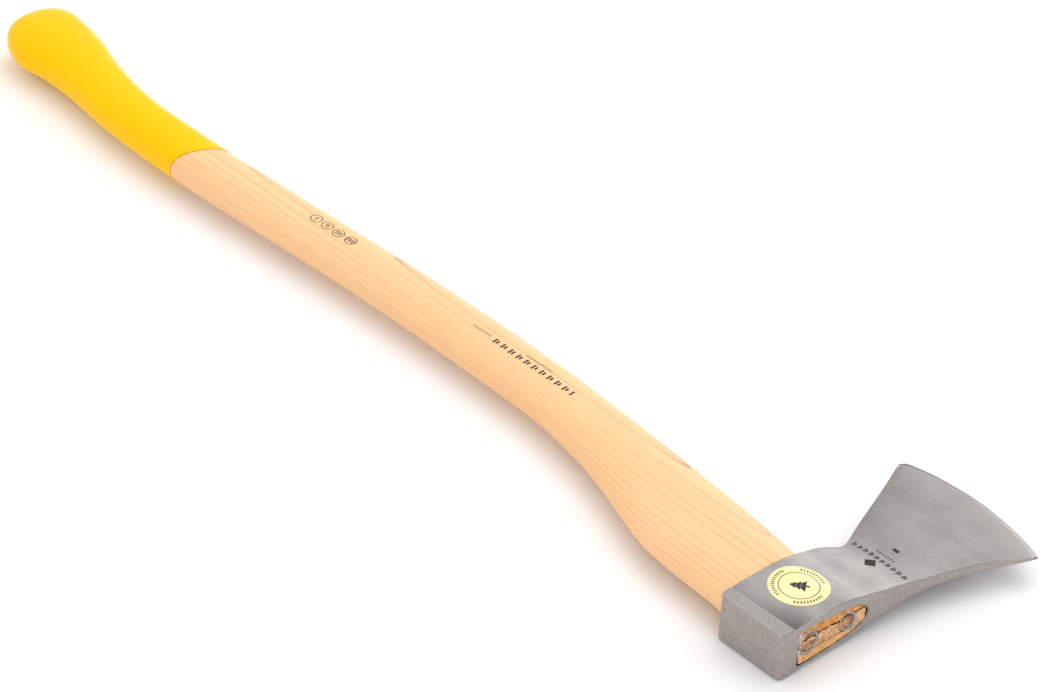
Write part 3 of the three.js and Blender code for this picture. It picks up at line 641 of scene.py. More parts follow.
def head_mesh():
    NV, NC, NS = 64, 5, 9
    rings = []
    info = []          # (x at toe, kind) for each ring, for the attributes

    def ring(x_at, half_at, inset=0.0, relief=1.0, inset_y=0.0):
        t = np.linspace(0, 1, NV + 1)
        xs = np.array([x_at(v) for v in t])
        y0 = float(toe_side(xs[0])) + inset_y
        y1 = float(heel_side(xs[-1])) - inset_y
        h = np.array([half_at(v, x) for v, x in zip(t, xs)]) - inset
        r0, r1 = min(0.9, 0.42 * h[0]), min(0.9, 0.42 * h[-1])
        rb = max(r0, min(0.42 * h[0], float(low_bevel(xs[0]))))
        ys = (y0 + r0) + (y1 - r1 - y0 - r0) * t
        up = h + relief * cheek_relief(xs, ys, 1)
        dn = h + relief * cheek_relief(xs, ys, -1)
        pts = [(x, y, z) for x, y, z in zip(xs, ys, up)]
        for k in range(1, NC + 1):
            a = math.pi / 2 * k / NC
            pts.append((xs[-1], y1 - r1 + r1 * math.sin(a), up[-1] - r1 + r1 * math.cos(a)))
        for k in range(1, NS + 1):
            f = k / (NS + 1)
            pts.append((xs[-1], y1, (up[-1] - r1) * (1 - f) - (dn[-1] - r1) * f))
        for k in range(NC, 0, -1):
            a = math.pi / 2 * k / NC
            pts.append((xs[-1], y1 - r1 + r1 * math.sin(a), -(dn[-1] - r1 + r1 * math.cos(a))))
        yb = (y0 + rb) + (y1 - r1 - y0 - rb) * t
        pts += [(x, y, -z) for x, y, z in zip(xs[::-1], yb[::-1], dn[::-1])]
        flat = min(1.0, max(0.0, (rb - r0) / 0.8)) * 0.8
        for k in range(1, NC + 1):
            a = math.pi / 2 * k / NC
            sn, cs = math.sin(a), math.cos(a)
            sn += (k / NC - sn) * flat
            cs += (1 - k / NC - cs) * flat
            pts.append((xs[0], y0 + rb - rb * sn, -(dn[0] - rb + rb * cs)))
        for k in range(1, NS + 1):
            f = k / (NS + 1)
            pts.append((xs[0], y0, -(dn[0] - rb) * (1 - f) + (up[0] - r0) * f))
        for k in range(NC, 0, -1):
            a = math.pi / 2 * k / NC
            pts.append((xs[0], y0 + r0 - r0 * math.sin(a), up[0] - r0 + r0 * math.cos(a)))
        return np.array(pts)

    # poll face: rings shrink to its middle, a touch dished and hammered
    RZ, RY = 0.9, 3.6

    def poll_ring(d):
        iz = RZ - math.sqrt(max(0.0, RZ * RZ - max(0.0, RZ - d) ** 2))
        iy = RY - math.sqrt(max(0.0, RY * RY - max(0.0, RY - d) ** 2))
        return ring(lambda t: POLL_X + d, half_body, iz, 1.0, iy)

    first = poll_ring(0.0)
    mid = first.mean(0)
    for s in np.linspace(0.03, 0.97, 26):
        r = mid + (first - mid) * s
        r[:, 0] = POLL_X
        rings.append(r)
    for d in (0.0, 0.06, 0.16, 0.32, 0.55, 0.8, 1.15, 1.6, 2.1, 2.7):
        rings.append(poll_ring(d))
    for x in np.concatenate([np.arange(RY + POLL_X, 30, 0.8), np.arange(30, 76, 1.5), np.arange(76, X_SPLIT, 1.5)]):
        rings.append(ring(lambda t, x=x: x, half_body))
    edge_x = lambda t: float(cutting_edge(TOE_Y + (HEEL_Y - TOE_Y) * t))
    for f in np.linspace(0, 1, 26):
        def x_at(t, f=f):
            return X_SPLIT + (edge_x(t) - BEVEL - X_SPLIT) * f

        def half_at(t, x, f=f):
            start = float(half_body(t, X_SPLIT))
            return start + (1.15 - start) * (f ** 1.35)
        rings.append(ring(x_at, half_at, 0.0, max(0.0, 0.35 * (1 - f))))
    for f in (0.33, 0.66, 1.0):
        rings.append(ring(lambda t, f=f: edge_x(t) - BEVEL * (1 - f),
                          lambda t, x, f=f: 1.15 + (0.22 - 1.15) * f, 0.0, 0.0))
    rings = np.array(rings)
    # keep inside the driving box
    rings[:, :, 2] = np.clip(rings[:, :, 2], -HALF_CHEEK, HALF_CHEEK + 0.25)
    n_poll = 26
    for k in range(n_poll + 1):
        for i in range(rings.shape[1]):
            p = rings[k, i]
            edge_f = min(1.0, max(0.0, (k - 0.5) / n_poll))
            rough = 0.10 * (1 + nz(p[1] / 9.0, p[2] / 9.0, 9.0)) + 0.05 * (1 + nz(p[1] / 2.4, p[2] / 2.4, 4.0)) + 0.02 * nz(p[1], p[2], 2.0)
            p[0] += rough * (1 - edge_f * 0.7)
    ob = loft("head_body", rings, True, False)
    # close the cutting edge with a strip between its two sides
    n = rings.shape[1]
    base = (len(rings) - 1) * n
    bm = bmesh.new()
    bm.from_mesh(ob.data)
    bm.verts.ensure_lookup_table()
    top = [base + i for i in range(NV + 1)]
    start_dn = NV + 1 + NC + NS + NC
    bottom = [base + start_dn + i for i in range(NV + 1)][::-1]
    for i in range(NV):
        bm.faces.new([bm.verts[j] for j in (top[i], top[i + 1], bottom[i + 1], bottom[i])])
    heel = [base + i for i in range(NV, start_dn + 1)]
    toe = [base + i for i in range(start_dn + NV, n)] + [base]
    bm.faces.new([bm.verts[j] for j in heel])
    bm.faces.new([bm.verts[j] for j in toe])
    bmesh.ops.triangulate(bm, faces=[f for f in bm.faces if len(f.verts) > 4])
    bmesh.ops.recalc_face_normals(bm, faces=bm.faces)
    if bm.calc_volume(signed=True) < 0:
        bmesh.ops.reverse_faces(bm, faces=bm.faces)
    bm.to_mesh(ob.data)
    bm.free()
    return ob


eye_half = pchip([[0, 12.2], [4, 13.4], [10, 13.5], [20, 13.0], [30, 12.2], [40, 11.2],
                  [48, 9.9], [54, 8.0], [58, 5.4], [60.4, 2.6]])
EYE_X0, EYE_LEN = 13.8, 61.2


def eye_loop(y, offset):
    """outline of the eye at depth y, moved out by offset (a number, or a
    function of the place on the loop)"""
    s = 1 - 0.075 * (y / 55.1)
    xs = np.concatenate([np.linspace(0, 2, 5)[:-1] * 1.0, np.linspace(2, 48, 30), np.linspace(49.5, 60.4, 14)])
    mid = EYE_X0 + EYE_LEN / 2 - 0.9
    w = eye_half(xs)
    w[0] = 11.4
    w[1] = min(w[1], 12.3)
    up = np.stack([mid + (EYE_X0 + xs - mid) * s, w * s], 1)
    tip = np.array([[mid + (EYE_X0 + EYE_LEN - mid) * s, 0.0]])
    # a few points across the blunt end
    z_end = w[0] * s
    blunt = np.array([[up[0, 0], z] for z in np.linspace(-z_end, z_end, 12)[1:-1]])
    loop = np.vstack([up, tip, up[::-1] * [1, -1], blunt])
    nxt, prv = np.roll(loop, -1, 0), np.roll(loop, 1, 0)
    t = nxt - prv
    t /= np.linalg.norm(t, axis=1)[:, None]
    n = np.stack([-t[:, 1], t[:, 0]], 1)
    c = loop.mean(0)
    if ((loop - c) * n).sum() < 0:
        n = -n
    off = np.array([offset(p) for p in loop]) if callable(offset) else offset
    q = loop + n * (off[:, None] if callable(offset) else off)
    return np.stack([q[:, 0], np.full(len(q), float(y)), q[:, 1] + EYE_Z], 1)


head = head_mesh()
cutter = loft("eye_cutter", [eye_loop(-10, 0.7), eye_loop(-0.02, 0.7), eye_loop(0.7, 0.0), eye_loop(54.5, 0.0), eye_loop(55.12, 0.5), eye_loop(65, 0.5)])
cut(head, cutter)
P = verts_mm(head)
t_edge = cutting_edge(P[:, 1]) - P[:, 0]
# inside marks the wall of the eye, which the steel darkens with painted shade
inside = np.zeros(len(P))
for i, p in enumerate(P):
    if 12.9 < p[0] < 76.5 and 0.3 < p[1] < 55.05 and abs(p[2] - EYE_Z) < 14.2:
        w = float(eye_half(p[0] - EYE_X0)) + 0.25
        if abs(p[2] - EYE_Z) < w:
            inside[i] = min(1.0, p[1] / 2.2)
attribute(head, "eye", inside)
attribute(head, "edge", 1 - smooth(BEVEL - 0.5, BEVEL + 0.6, t_edge))
half_here = half_body(np.full(len(P), 0.0), np.minimum(P[:, 0], 170))
side_face = smooth(0.25, 0.9, half_here - np.abs(P[:, 2]))
on_poll = 1 - smooth(POLL_X + 0.5, POLL_X + 1.4, P[:, 0])
near_side = np.maximum(1 - smooth(0.2, 0.8, P[:, 1] - toe_side(P[:, 0])), 1 - smooth(0.2, 0.8, heel_side(P[:, 0]) - P[:, 1]))
corner = 1 - smooth(2.6, 4.2, np.hypot(np.maximum(P[:, 0] - POLL_X, 0), 0) + 0 * P[:, 1])
on_side = side_face * np.maximum(near_side, corner)
back = P[:, 0] - rim_line(P[:, 1])
rim_band = (1 - smooth(-0.6, 0.8, back)) * (1 - on_side)
toe_near = np.exp(-(np.maximum(P[:, 1], 0) / 26.0) ** 2)
# the dip band marks where the steel gets painted shade behind the rim
dip_band = smooth(-0.5, 0.9, back) * np.exp(-(np.maximum(back - 2.0, 0) / (6.0 + 8.0 * toe_near)) ** 2) * (0.30 + 0.70 * toe_near)
attribute(head, "forged", np.clip(np.maximum(on_poll, on_side), 0, 1))
attribute(head, "rim", np.clip(rim_band, 0, 1))
attribute(head, "dip", np.clip(dip_band * (P[:, 0] < 40) * (1 - on_side), 0, 1))
attribute(head, "glow", smooth(26, 6, t_edge) * (P[:, 0] > 120))
wear = np.exp(-((P[:, 0] - POLL_X - 0.5) / 0.5) ** 2) * (np.abs(P[:, 2]) > 15.5)
attribute(head, "wear", np.clip(wear, 0, 1))
M_STEEL = make_steel()
finish_piece(head, "head", M_STEEL, 40)

# ---------------------------------------------------------------------------
# handle
# ---------------------------------------------------------------------------
poll_side = pchip([[55, 3.2], [68, 5.2], [84, 6.3], [100, 7.0], [116, 8.2], [128, 9.6], [138, 11.3],
                   [148, 14.2], [158, 17.4], [170, 21.5], [182, 25.6], [194, 29.6], [206, 33.4], [220, 37.0], [236, 40.1],
                   [252, 42.8], [270, 45.0], [290, 46.2], [320, 46.2], [370, 46.0], [400, 45.7], [430, 44.8], [460, 43.7],
                   [490, 42.0], [520, 39.9], [550, 37.8], [580, 35.7], [610, 34.9], [640, 34.9], [670, 35.7], [690, 37.2],
                   [708, 39.4], [724, 40.9], [736, 41.2], [750, 40.6], [764, 38.4]])
bit_side = pchip([[55, 72.9], [68, 75.0], [84, 77.0], [100, 78.8], [116, 80.4], [132, 81.6],
                  [148, 82.7], [164, 83.9], [180, 85.0], [196, 85.8], [212, 86.6], [228, 87.3], [244, 88.0], [270, 88.8],
                  [300, 89.2], [330, 89.3], [350, 88.8], [370, 88.0], [400, 86.9], [430, 85.2], [460, 83.3], [490, 81.1],
                  [520, 78.8], [550, 76.8], [580, 74.6], [610, 73.3], [640, 72.3], [655, 71.9], [666, 72.3], [680, 73.6],
                  [692, 75.4], [704, 77.9], [716, 81.2], [726, 84.6], [736, 87.9], [746, 90.6], [756, 92.6], [764, 93.4]])
half_depth = pchip([[55, 13.2], [90, 13.5], [160, 13.5], [200, 13.2], [260, 12.8], [350, 12.75],
                    [500, 13.0], [640, 13.5], [690, 14.1], [730, 15.0], [766, 15.75]])
shear_at = pchip([[500, 0], [560, DIP_SHEAR * 0.6], [DIP_Y, DIP_SHEAR], [625, DIP_SHEAR * 0.8],
                  [660, -0.07], [690, -0.09], [722, -0.14], [766, -0.17]])
CAP_Y, CAP_H, CAP_DIR, CAP_N = 766.0, 30.6, (0.21, 0.978), 2.6
NR = 96


def section(y0, shear, e):
    xl, xr = float(poll_side(y0)), float(bit_side(y0))
    for _ in range(4):
        m = (xl + xr) / 2
        xl = float(poll_side(y0 + shear * (xl - m)))
        xr = float(bit_side(y0 + shear * (xr - m)))
    return dict(y0=y0, shear=shear, mid=(xl + xr) / 2, a=(xr - xl) / 2 + e, c=float(half_depth(y0)) + e)


T = 2 * np.pi * np.arange(NR) / NR
CT = np.sign(np.cos(T)) * np.abs(np.cos(T)) ** (2 / NSUP)
ST = np.sign(np.sin(T)) * np.abs(np.sin(T)) ** (2 / NSUP)


def ring_of(s, k=1.0, lift=(0.0, 0.0)):
    u, w = CT * s["a"] * k, ST * s["c"] * k
    return np.stack([s["mid"] + u + lift[0], s["y0"] + s["shear"] * u + lift[1], w], 1)


def cap_rings(e, steps, last=0.22):
    s, h = section(CAP_Y, float(shear_at(CAP_Y)), e), CAP_H + e
    out = []
    for i in range(1, steps + 1):
        ph = (math.pi / 2) * (i / (steps + last))
        up, k = math.sin(ph) ** (2 / CAP_N), math.cos(ph) ** (2 / CAP_N)
        out.append(ring_of(s, k, (CAP_DIR[0] * h * up, CAP_DIR[1] * h * up)))
    return out


def tongue_ring(y, offset):
    """the tongue's outline, sampled at the directions of the shoulder's ring"""
    loop = eye_loop(y, offset)[:, [0, 2]]
    s = section(SHOULDER_Y, 0, 0)
    ref = ring_of(s)
    cx = s["mid"]
    out = []
    a, b = loop, np.roll(loop, -1, 0)
    e = b - a
    for q in ref:
        d = np.array([q[0] - cx, q[2]])
        den = d[0] * e[:, 1] - d[1] * e[:, 0]
        den = np.where(np.abs(den) < 1e-9, 1e-9, den)
        ax, az = a[:, 0] - cx, a[:, 1]
        t = (ax * e[:, 1] - az * e[:, 0]) / den
        u = (ax * d[1] - az * d[0]) / den
        ok = (t > 0) & (u >= -1e-6) & (u <= 1 + 1e-6)
        best = t[ok].max() if ok.any() else 0.5
        out.append((cx + d[0] * best, y, d[1] * best))
    return np.array(out)


def loose(p):
    """clearance round the tongue at the mouth: wider on the underside"""
    low = float(smooth(-2.0, -9.0, p[1]))
    w = 0.5 + 0.5 * nz(p[0] / 6.0, p[1] / 6.0, 1.5)
    corner = math.exp(-((p[0] - 16) / 9.0) ** 2)
    return -(0.12 + low * (0.30 + 0.45 * w + 0.45 * corner) + 0.12 * w)


rings = []
mouth = tongue_ring(TONGUE_TOP, loose)
centre = np.array([44.5, TONGUE_TOP, EYE_Z])
for s in np.concatenate([np.linspace(0.03, 0.9, 26), [0.95, 0.985]]):
    r = centre + (mouth - centre) * s
    r[:, 1] = TONGUE_TOP
    rings.append(r)
rings.append(mouth + [0, 0.25, 0])
for y in (3, 8, 16, 26, 36, 46):
    rings.append(tongue_ring(y, lambda p, y=y: loose(p) * (1 - y / 60.0) - 0.3 * y / 60.0))
inner = tongue_ring(SHOULDER_Y - 0.6, -0.35)
base_ring = ring_of(section(SHOULDER_Y, 0, 0))
axis = np.array([section(SHOULDER_Y, 0, 0)["mid"], 0.0])
r_in = np.hypot(*(inner[:, [0, 2]] - axis).T)
r_out = np.hypot(*(base_ring[:, [0, 2]] - axis).T)
shrink = np.minimum(1.0, 0.95 * r_out / r_in)
inner[:, 0] = axis[0] + (inner[:, 0] - axis[0]) * shrink
inner[:, 2] *= shrink
rings.append(inner)
low = inner.copy()
low[:, 1] = SHOULDER_Y
rings.append(low)
for f in (0.5, 0.93):
    r = low + (base_ring - low) * f
    r[:, 1] = SHOULDER_Y
    rings.append(r)
r = low + (base_ring - low) * 0.985
r[:, 1] = SHOULDER_Y + 0.12
rings.append(r)
ys = list(np.arange(SHOULDER_Y + 0.8, 500, 2.6)) + list(np.arange(500, 592, 2.3))
for y in ys:
    rings.append(ring_of(section(y, float(shear_at(y)), 0.0)))
INNER = -(COAT_IN + GAP)
m1 = section(DIP_Y - GAP, DIP_SHEAR, 0.0)
m2 = dict(m1, a=m1["a"] + INNER, c=m1["c"] + INNER)
rings += [ring_of(m1), ring_of(m2)]
grip_ys = [614, 630, 646, 662, 678, 693, 706, 718, 730, 742, 754, CAP_Y]
for y in grip_ys:
    rings.append(ring_of(section(y, float(shear_at(y)), INNER)))
rings += cap_rings(INNER, 8)
rings = np.array(rings)
# hand-shaped unevenness of the bare wood, and the rough sawn end of the tongue
for k in range(rings.shape[0]):
    for i in range(NR):
        p = rings[k, i]
        if SHOULDER_Y + 0.5 < p[1] < 585 and k > 30:
            a = 0.16 * nz(p[0] / 34.0, p[1] / 60.0, p[2] / 30.0, 1.0) + 0.05 * nz(p[0] / 9.0, p[1] / 26.0, p[2] / 9.0, 3.0)
            c = np.array([(float(poll_side(p[1])) + float(bit_side(p[1]))) / 2, p[1], 0.0])
            d = p - c
            d /= np.linalg.norm(d) + 1e-9
            rings[k, i] = p + d * (a - 0.05)
        if k < 28:
            rings[k, i, 1] += 0.25
handle = loft("handle_wood", rings, True, True)


def wave(x):
    return 1.0 * math.sin((x - 30) / 6.1) * math.exp(-((x - 38) / 16) ** 2) + 0.8 * nz(x / 6.0, 1.0, 2.0, 5.0) + 0.5 * nz(x / 2.1, 3.0, 1.0, 5.0)


def wedge_mesh(name, e):
    """the wooden wedge, and grown by e the kerf that it fills: it widens
    toward the eye's mouth and its faces wander with the split grain"""
    ny, nzr = 14, 12
    y0 = TONGUE_TOP - 6 if e > 0 else TONGUE_TOP
    rings = []
    xs = np.linspace(WEDGE_X0 - (e if e > 0 else 0), WEDGE_X1 + (20 if e > 0 else 3.6), 116)
    for x in xs:
        up = wave(x)
        lo = 0.45 * nz(x / 6.0, 8.0, 2.0, 7.0)

        def zz(y, side):
            s = (y - TONGUE_TOP) / (WEDGE_DEPTH - TONGUE_TOP)
            h = (WEDGE_T0 + (WEDGE_T1 - WEDGE_T0) * s) / 2 + e
            extra = (up * 0.75 + (0.66 if e > 0 else -0.38)) if side > 0 else lo
            z = WEDGE_Z + side * h + extra * max(0.0, 1 - max(0, y) / 20.0)
            if e <= 0 and x > 64:
                # near the tip of the eye its wall is what holds the wedge
                sc = 1 - 0.075 * max(0.0, y) / 55.1
                mid = EYE_X0 + EYE_LEN / 2 - 0.9
                xe = mid + (x - mid) / sc - EYE_X0
                room = float(eye_half(xe)) * sc * max(0.0, min(1.0, (61.0 - xe) / 0.8)) - 0.22 - 0.1 * (side < 0)
                room = max(0.25, room)
                z = min(z, EYE_Z + room) if side > 0 else max(z, EYE_Z - room)
            return z
        y1 = WEDGE_DEPTH + e
        yy = np.linspace(y0, y1, ny)
        ring = [(x, y, zz(y, 1)) for y in yy]
        ring += [(x, y1, z) for z in np.linspace(zz(y1, 1), zz(y1, -1), nzr)[1:-1]]
        ring += [(x, y, zz(y, -1)) for y in yy[::-1]]
        ring += [(x, y0, z) for z in np.linspace(zz(y0, -1), zz(y0, 1), nzr)[1:-1]]
        rings.append(ring)
    rings = np.array(rings)
    if e <= 0:
        for k in range(rings.shape[0]):
            for i in range(rings.shape[1]):
                p = rings[k, i]
                if p[1] < TONGUE_TOP + 0.01:
                    rings[k, i, 1] += 0.40 + 0.35 * nz(p[0] / 3.4, p[2] / 1.7, 4.0, 9.0) + 0.2 * nz(p[0] / 1.0, p[2] / 0.8, 1.0, 2.0)
    return loft(name, rings, True, True)


def ring_mesh(name, R, e):
    """a steel ring that thins to an edge at its buried end; grown by e, its groove"""
    n = 96
    r0, r1 = R["r"] + e, R["r"] - RING_TAPER + e
    i0, i1 = R["rin"] - e, R["r"] - RING_TAPER - 1.1 - e
    d = R["depth"] + e
    top = -6.0 if e > 0 else TONGUE_TOP + 0.1
    if e > 0:
        prof = [(i0, top), (r0, top), (r1, d), (i1, d)]
    else:
        b = 0.38
        prof = [(i0, top + b), (i0 + 0.12, top + 0.12), (i0 + b, top), ((i0 + r0) / 2, top - 0.05), (r0 - b, top),
                (r0 - 0.12, top + 0.12), (r0, top + b), (r0 - 0.1, top + 4), (r1, d), (i1, d), (i0 + 0.1, top + 4)]
    verts, faces = [], []
    m = len(prof)
    for k in range(n):
        a = 2 * math.pi * k / n
        for j, (rr, yy) in enumerate(prof):
            w = 0.0
            hy = 0.0
            if e <= 0:
                w = 0.16 * nz(3 * math.cos(a), 3 * math.sin(a), R["x"], 1.0)
                hy = 0.22 * nz(2.2 * math.cos(a), 2.2 * math.sin(a), R["x"] + 5, 2.0) if yy < TONGUE_TOP + 1 else 0.0
            if e <= 0 and yy < TONGUE_TOP + 1:
                hy += R["lift"] + rr * (R["tilt"][0] * math.cos(a) + R["tilt"][1] * math.sin(a))
            verts.append((R["x"] + (rr + w) * math.cos(a), yy + hy, R["z"] + (rr + w) * math.sin(a)))
    for k in range(n):
        for j in range(m):
            a, b = k * m + j, k * m + (j + 1) % m
            c, dd = ((k + 1) % n) * m + (j + 1) % m, ((k + 1) % n) * m + j
            faces.append((a, b, c, dd))
    ob = object_from(name, to_row(verts), faces)
    fix_normals(ob)
    return ob


def in_ring(p):
    """1 inside a steel ring, 0 outside it"""
    k = 0.0
    for R in (RING1, RING2):
        k = max(k, float(1 - smooth(R["rin"] - 0.9, R["rin"] - 0.1, math.hypot(p[0] - R["x"], p[2] - R["z"]))))
    return k


def torn(p):
    """how far a point of the sawn and hammered end grain moves"""
    a = 0.30 * nz(p[0] / 3.4, p[2] / 2.0, 0.5, 6.0) + 0.26 * nz(p[0] / 1.3, p[2] / 1.0, 2.5, 8.0) + 0.14 * nz(p[0] / 0.6, p[2] / 0.6, 1.5, 3.0)
    core = in_ring(p) * (0.75 + 0.75 * nz(p[0] / 2.6, p[2] / 2.2, 7.0, 2.0))
    left = -0.35 * math.exp(-((p[0] - 15.5) / 1.6) ** 2)
    return (0.0, a + core + left, 0.0)


cut(handle, wedge_mesh("kerf", 0.35), ring_mesh("g1", RING1, 0.40), ring_mesh("g2", RING2, 0.40))
roughen(handle, lambda c, n: n.y < -0.6 and c.y < 1.2, 0.75, torn)
M_WOOD = make_wood()
finish_piece(handle, "handle", M_WOOD, 45)

wedge = wedge_mesh("wedge_wood", 0.0)
cut(wedge, ring_mesh("g1", RING1, 0.40), ring_mesh("g2", RING2, 0.40))
roughen(wedge, lambda c, n: n.y < -0.5 and c.y < 2.6, 0.6, torn)
finish_piece(wedge, "eye_wedge", make_wedge_wood(), 45)

def sliver(verts, faces, c, length, width, thick, ang, seed):
    """one closed torn fibre, lying in the mouth of the eye"""
    n, m = 6, 7
    base = len(verts)
    ca, sa = math.cos(ang), math.sin(ang)
    for k in range(m):
        f = k / (m - 1)
        w = math.sin(math.pi * min(1.0, 0.06 + 0.94 * f)) ** 0.6 if 0 < k < m - 1 else 0.08
        u = (f - 0.5) * length
        bend = 0.35 * nz(f * 2.0, seed, 1.0)
        for i in range(n):
            t = 2 * math.pi * i / n
            v = math.cos(t) * width / 2 * w * (1 + 0.3 * nz(f * 3, i, seed)) + bend
            h = math.sin(t) * thick / 2 * w
            verts.append((c[0] + u * ca - v * sa, c[1] + h + 0.25 * (f - 0.5), c[2] + u * sa + v * ca))
    for k in range(m - 1):
        for i in range(n):
            j = (i + 1) % n
            faces.append((base + k * n + i, base + k * n + j, base + (k + 1) * n + j, base + (k + 1) * n + i))
    faces.append(tuple(base + i for i in range(n))[::-1])
    faces.append(tuple(base + (m - 1) * n + i for i in range(n)))


sv, sf = [], []
for i, (x, z, ln, wd, ang) in enumerate((
        (51.2, 2.6, 4.2, 1.1, 0.9), (50.8, 0.6, 3.8, 1.3, 1.3), (51.3, -1.6, 4.4, 1.2, 1.75), (52.6, -3.9, 3.6, 1.0, 2.3),
        (52.4, 1.0, 3.0, 0.9, 0.4), (53.6, -0.6, 3.2, 0.8, 0.1), (52.2, -2.8, 2.6, 0.9, 2.9), (49.8, -0.4, 3.0, 0.9, 1.5),
        (15.5, 7.6, 3.0, 0.9, 1.5), (15.2, 4.8, 3.4, 1.0, 1.62), (15.0, 1.6, 3.6, 1.0, 1.5), (15.0, -1.8, 3.4, 1.1, 1.66),
        (15.1, -5.0, 3.6, 1.0, 1.5), (15.3, -8.2, 3.4, 1.1, 1.6), (15.8, -11.0, 2.8, 1.0, 1.4), (17.4, 9.6, 2.8, 0.8, 0.5),
        (18.9, 10.4, 2.6, 0.7, 0.2), (30.4, 8.2, 3.0, 0.8, 2.9), (43.0, -6.6, 3.6, 0.8, 0.1), (36.2, -5.4, 3.0, 0.7, 3.0))):
    sliver(sv, sf, (x, 0.15 + 0.2 * nz(x, z, 3.0), z), ln, wd, 0.7, ang, i * 1.7)
splinters = object_from("torn_fibres", to_row(sv), sf)
fix_normals(splinters)
finish_piece(splinters, "eye_wedge", wedge.data.materials[0], 70, replaces=False)

M_RING = make_ring_steel()
for name, R in (("ring_wedge_front", RING1), ("ring_wedge_rear", RING2)):
    finish_piece(ring_mesh(name + "_steel", R, 0.0), name, M_RING, 40)

# ---------------------------------------------------------------------------
# dipped coating
# ---------------------------------------------------------------------------
def dip_wobble(i):
    a = T[i]
    return 0.45 * nz(1.6 * math.cos(a), 1.6 * math.sin(a), 4.0, 3.0) + 0.18 * nz(5 * math.cos(a), 5 * math.sin(a), 1.0, 3.0)


W = np.array([dip_wobble(i) for i in range(NR)])


def mouth_ring(dy, e):
    s = section(DIP_Y, DIP_SHEAR, e)
    r = ring_of(s)
    r[:, 1] += W + dy
    return r


outer = [mouth_ring(0.25, -0.02), mouth_ring(0.16, 0.12), mouth_ring(0.32, 0.24), mouth_ring(0.8, COAT_OUT + 0.04), mouth_ring(2.0, COAT_OUT + 0.02)]
for y in np.concatenate([np.arange(DIP_Y + 4, CAP_Y, 2.2), [CAP_Y]]):
    outer.append(ring_of(section(float(y), float(shear_at(y)), COAT_OUT)))
outer += cap_rings(COAT_OUT, 40)
inner = [mouth_ring(0.25, -COAT_IN)]
for y in grip_ys:
    inner.append(ring_of(section(y, float(shear_at(y)), -COAT_IN)))
inner += cap_rings(-COAT_IN, 8)
shell = np.array(outer[::-1] + inner)
for k in range(len(outer) - 5):
    for i in range(NR):
        p = shell[k, i]
        a = 0.10 * nz(p[0] / 26.0, p[1] / 40.0, p[2] / 26.0, 1.0) + 0.03 * nz(p[0] / 7.0, p[1] / 12.0, p[2] / 7.0, 2.0)
        c = np.array([(float(poll_side(min(p[1], 764))) + float(bit_side(min(p[1], 764)))) / 2, p[1] - 4.0 if p[1] > 770 else p[1], 0.0])
        d = p - c
        d /= np.linalg.norm(d) + 1e-9
        shell[k, i] = p + d * (a - 0.08)
coat = loft("grip_dip", shell, True, True)
P = verts_mm(coat)
mids = (poll_side(np.minimum(P[:, 1], 764)) + bit_side(np.minimum(P[:, 1], 764))) / 2
along = P[:, 1] - (DIP_Y + DIP_SHEAR * (P[:, 0] - mids))
attribute(coat, "lip", 1 - smooth(0.2, 1.6, along))
finish_piece(coat, "grip_coating", make_coat(), 50)

# ---------------------------------------------------------------------------
# label and printed marks: thin closed films that follow the surface below
# ---------------------------------------------------------------------------
def cheek_z(x, y):
    x = np.atleast_1d(np.asarray(x, float))
    y = np.atleast_1d(np.asarray(y, float))
    y0, y1 = toe_side(x), heel_side(x)
    t = np.clip((y - y0 - 1.0) / (y1 - y0 - 2.0), 0, 1)
    xs = np.minimum(x, X_SPLIT)
    return half_body(t, xs) + cheek_relief(x, y, 1)


def handle_z(x, y):
    x = np.atleast_1d(np.asarray(x, float))
    y = np.atleast_1d(np.asarray(y, float))
    xl, xr = poll_side(y), bit_side(y)
    u = np.clip(np.abs(x - (xl + xr) / 2) / ((xr - xl) / 2), 0, 0.999)
    z = half_depth(y) * (1 - u ** NSUP) ** (1 / NSUP)
    out = []
    for a, b, c, l, r in zip(x, y, z, xl, xr):
        d = np.array([a - (l + r) / 2, 0.0, c])
        d /= np.linalg.norm(d)
        h = 0.16 * nz(a / 34.0, b / 60.0, c / 30.0, 1.0) + 0.05 * nz(a / 9.0, b / 26.0, c / 9.0, 3.0) - 0.05
        out.append(c + h / max(d[2], 0.3))
    return np.array(out)


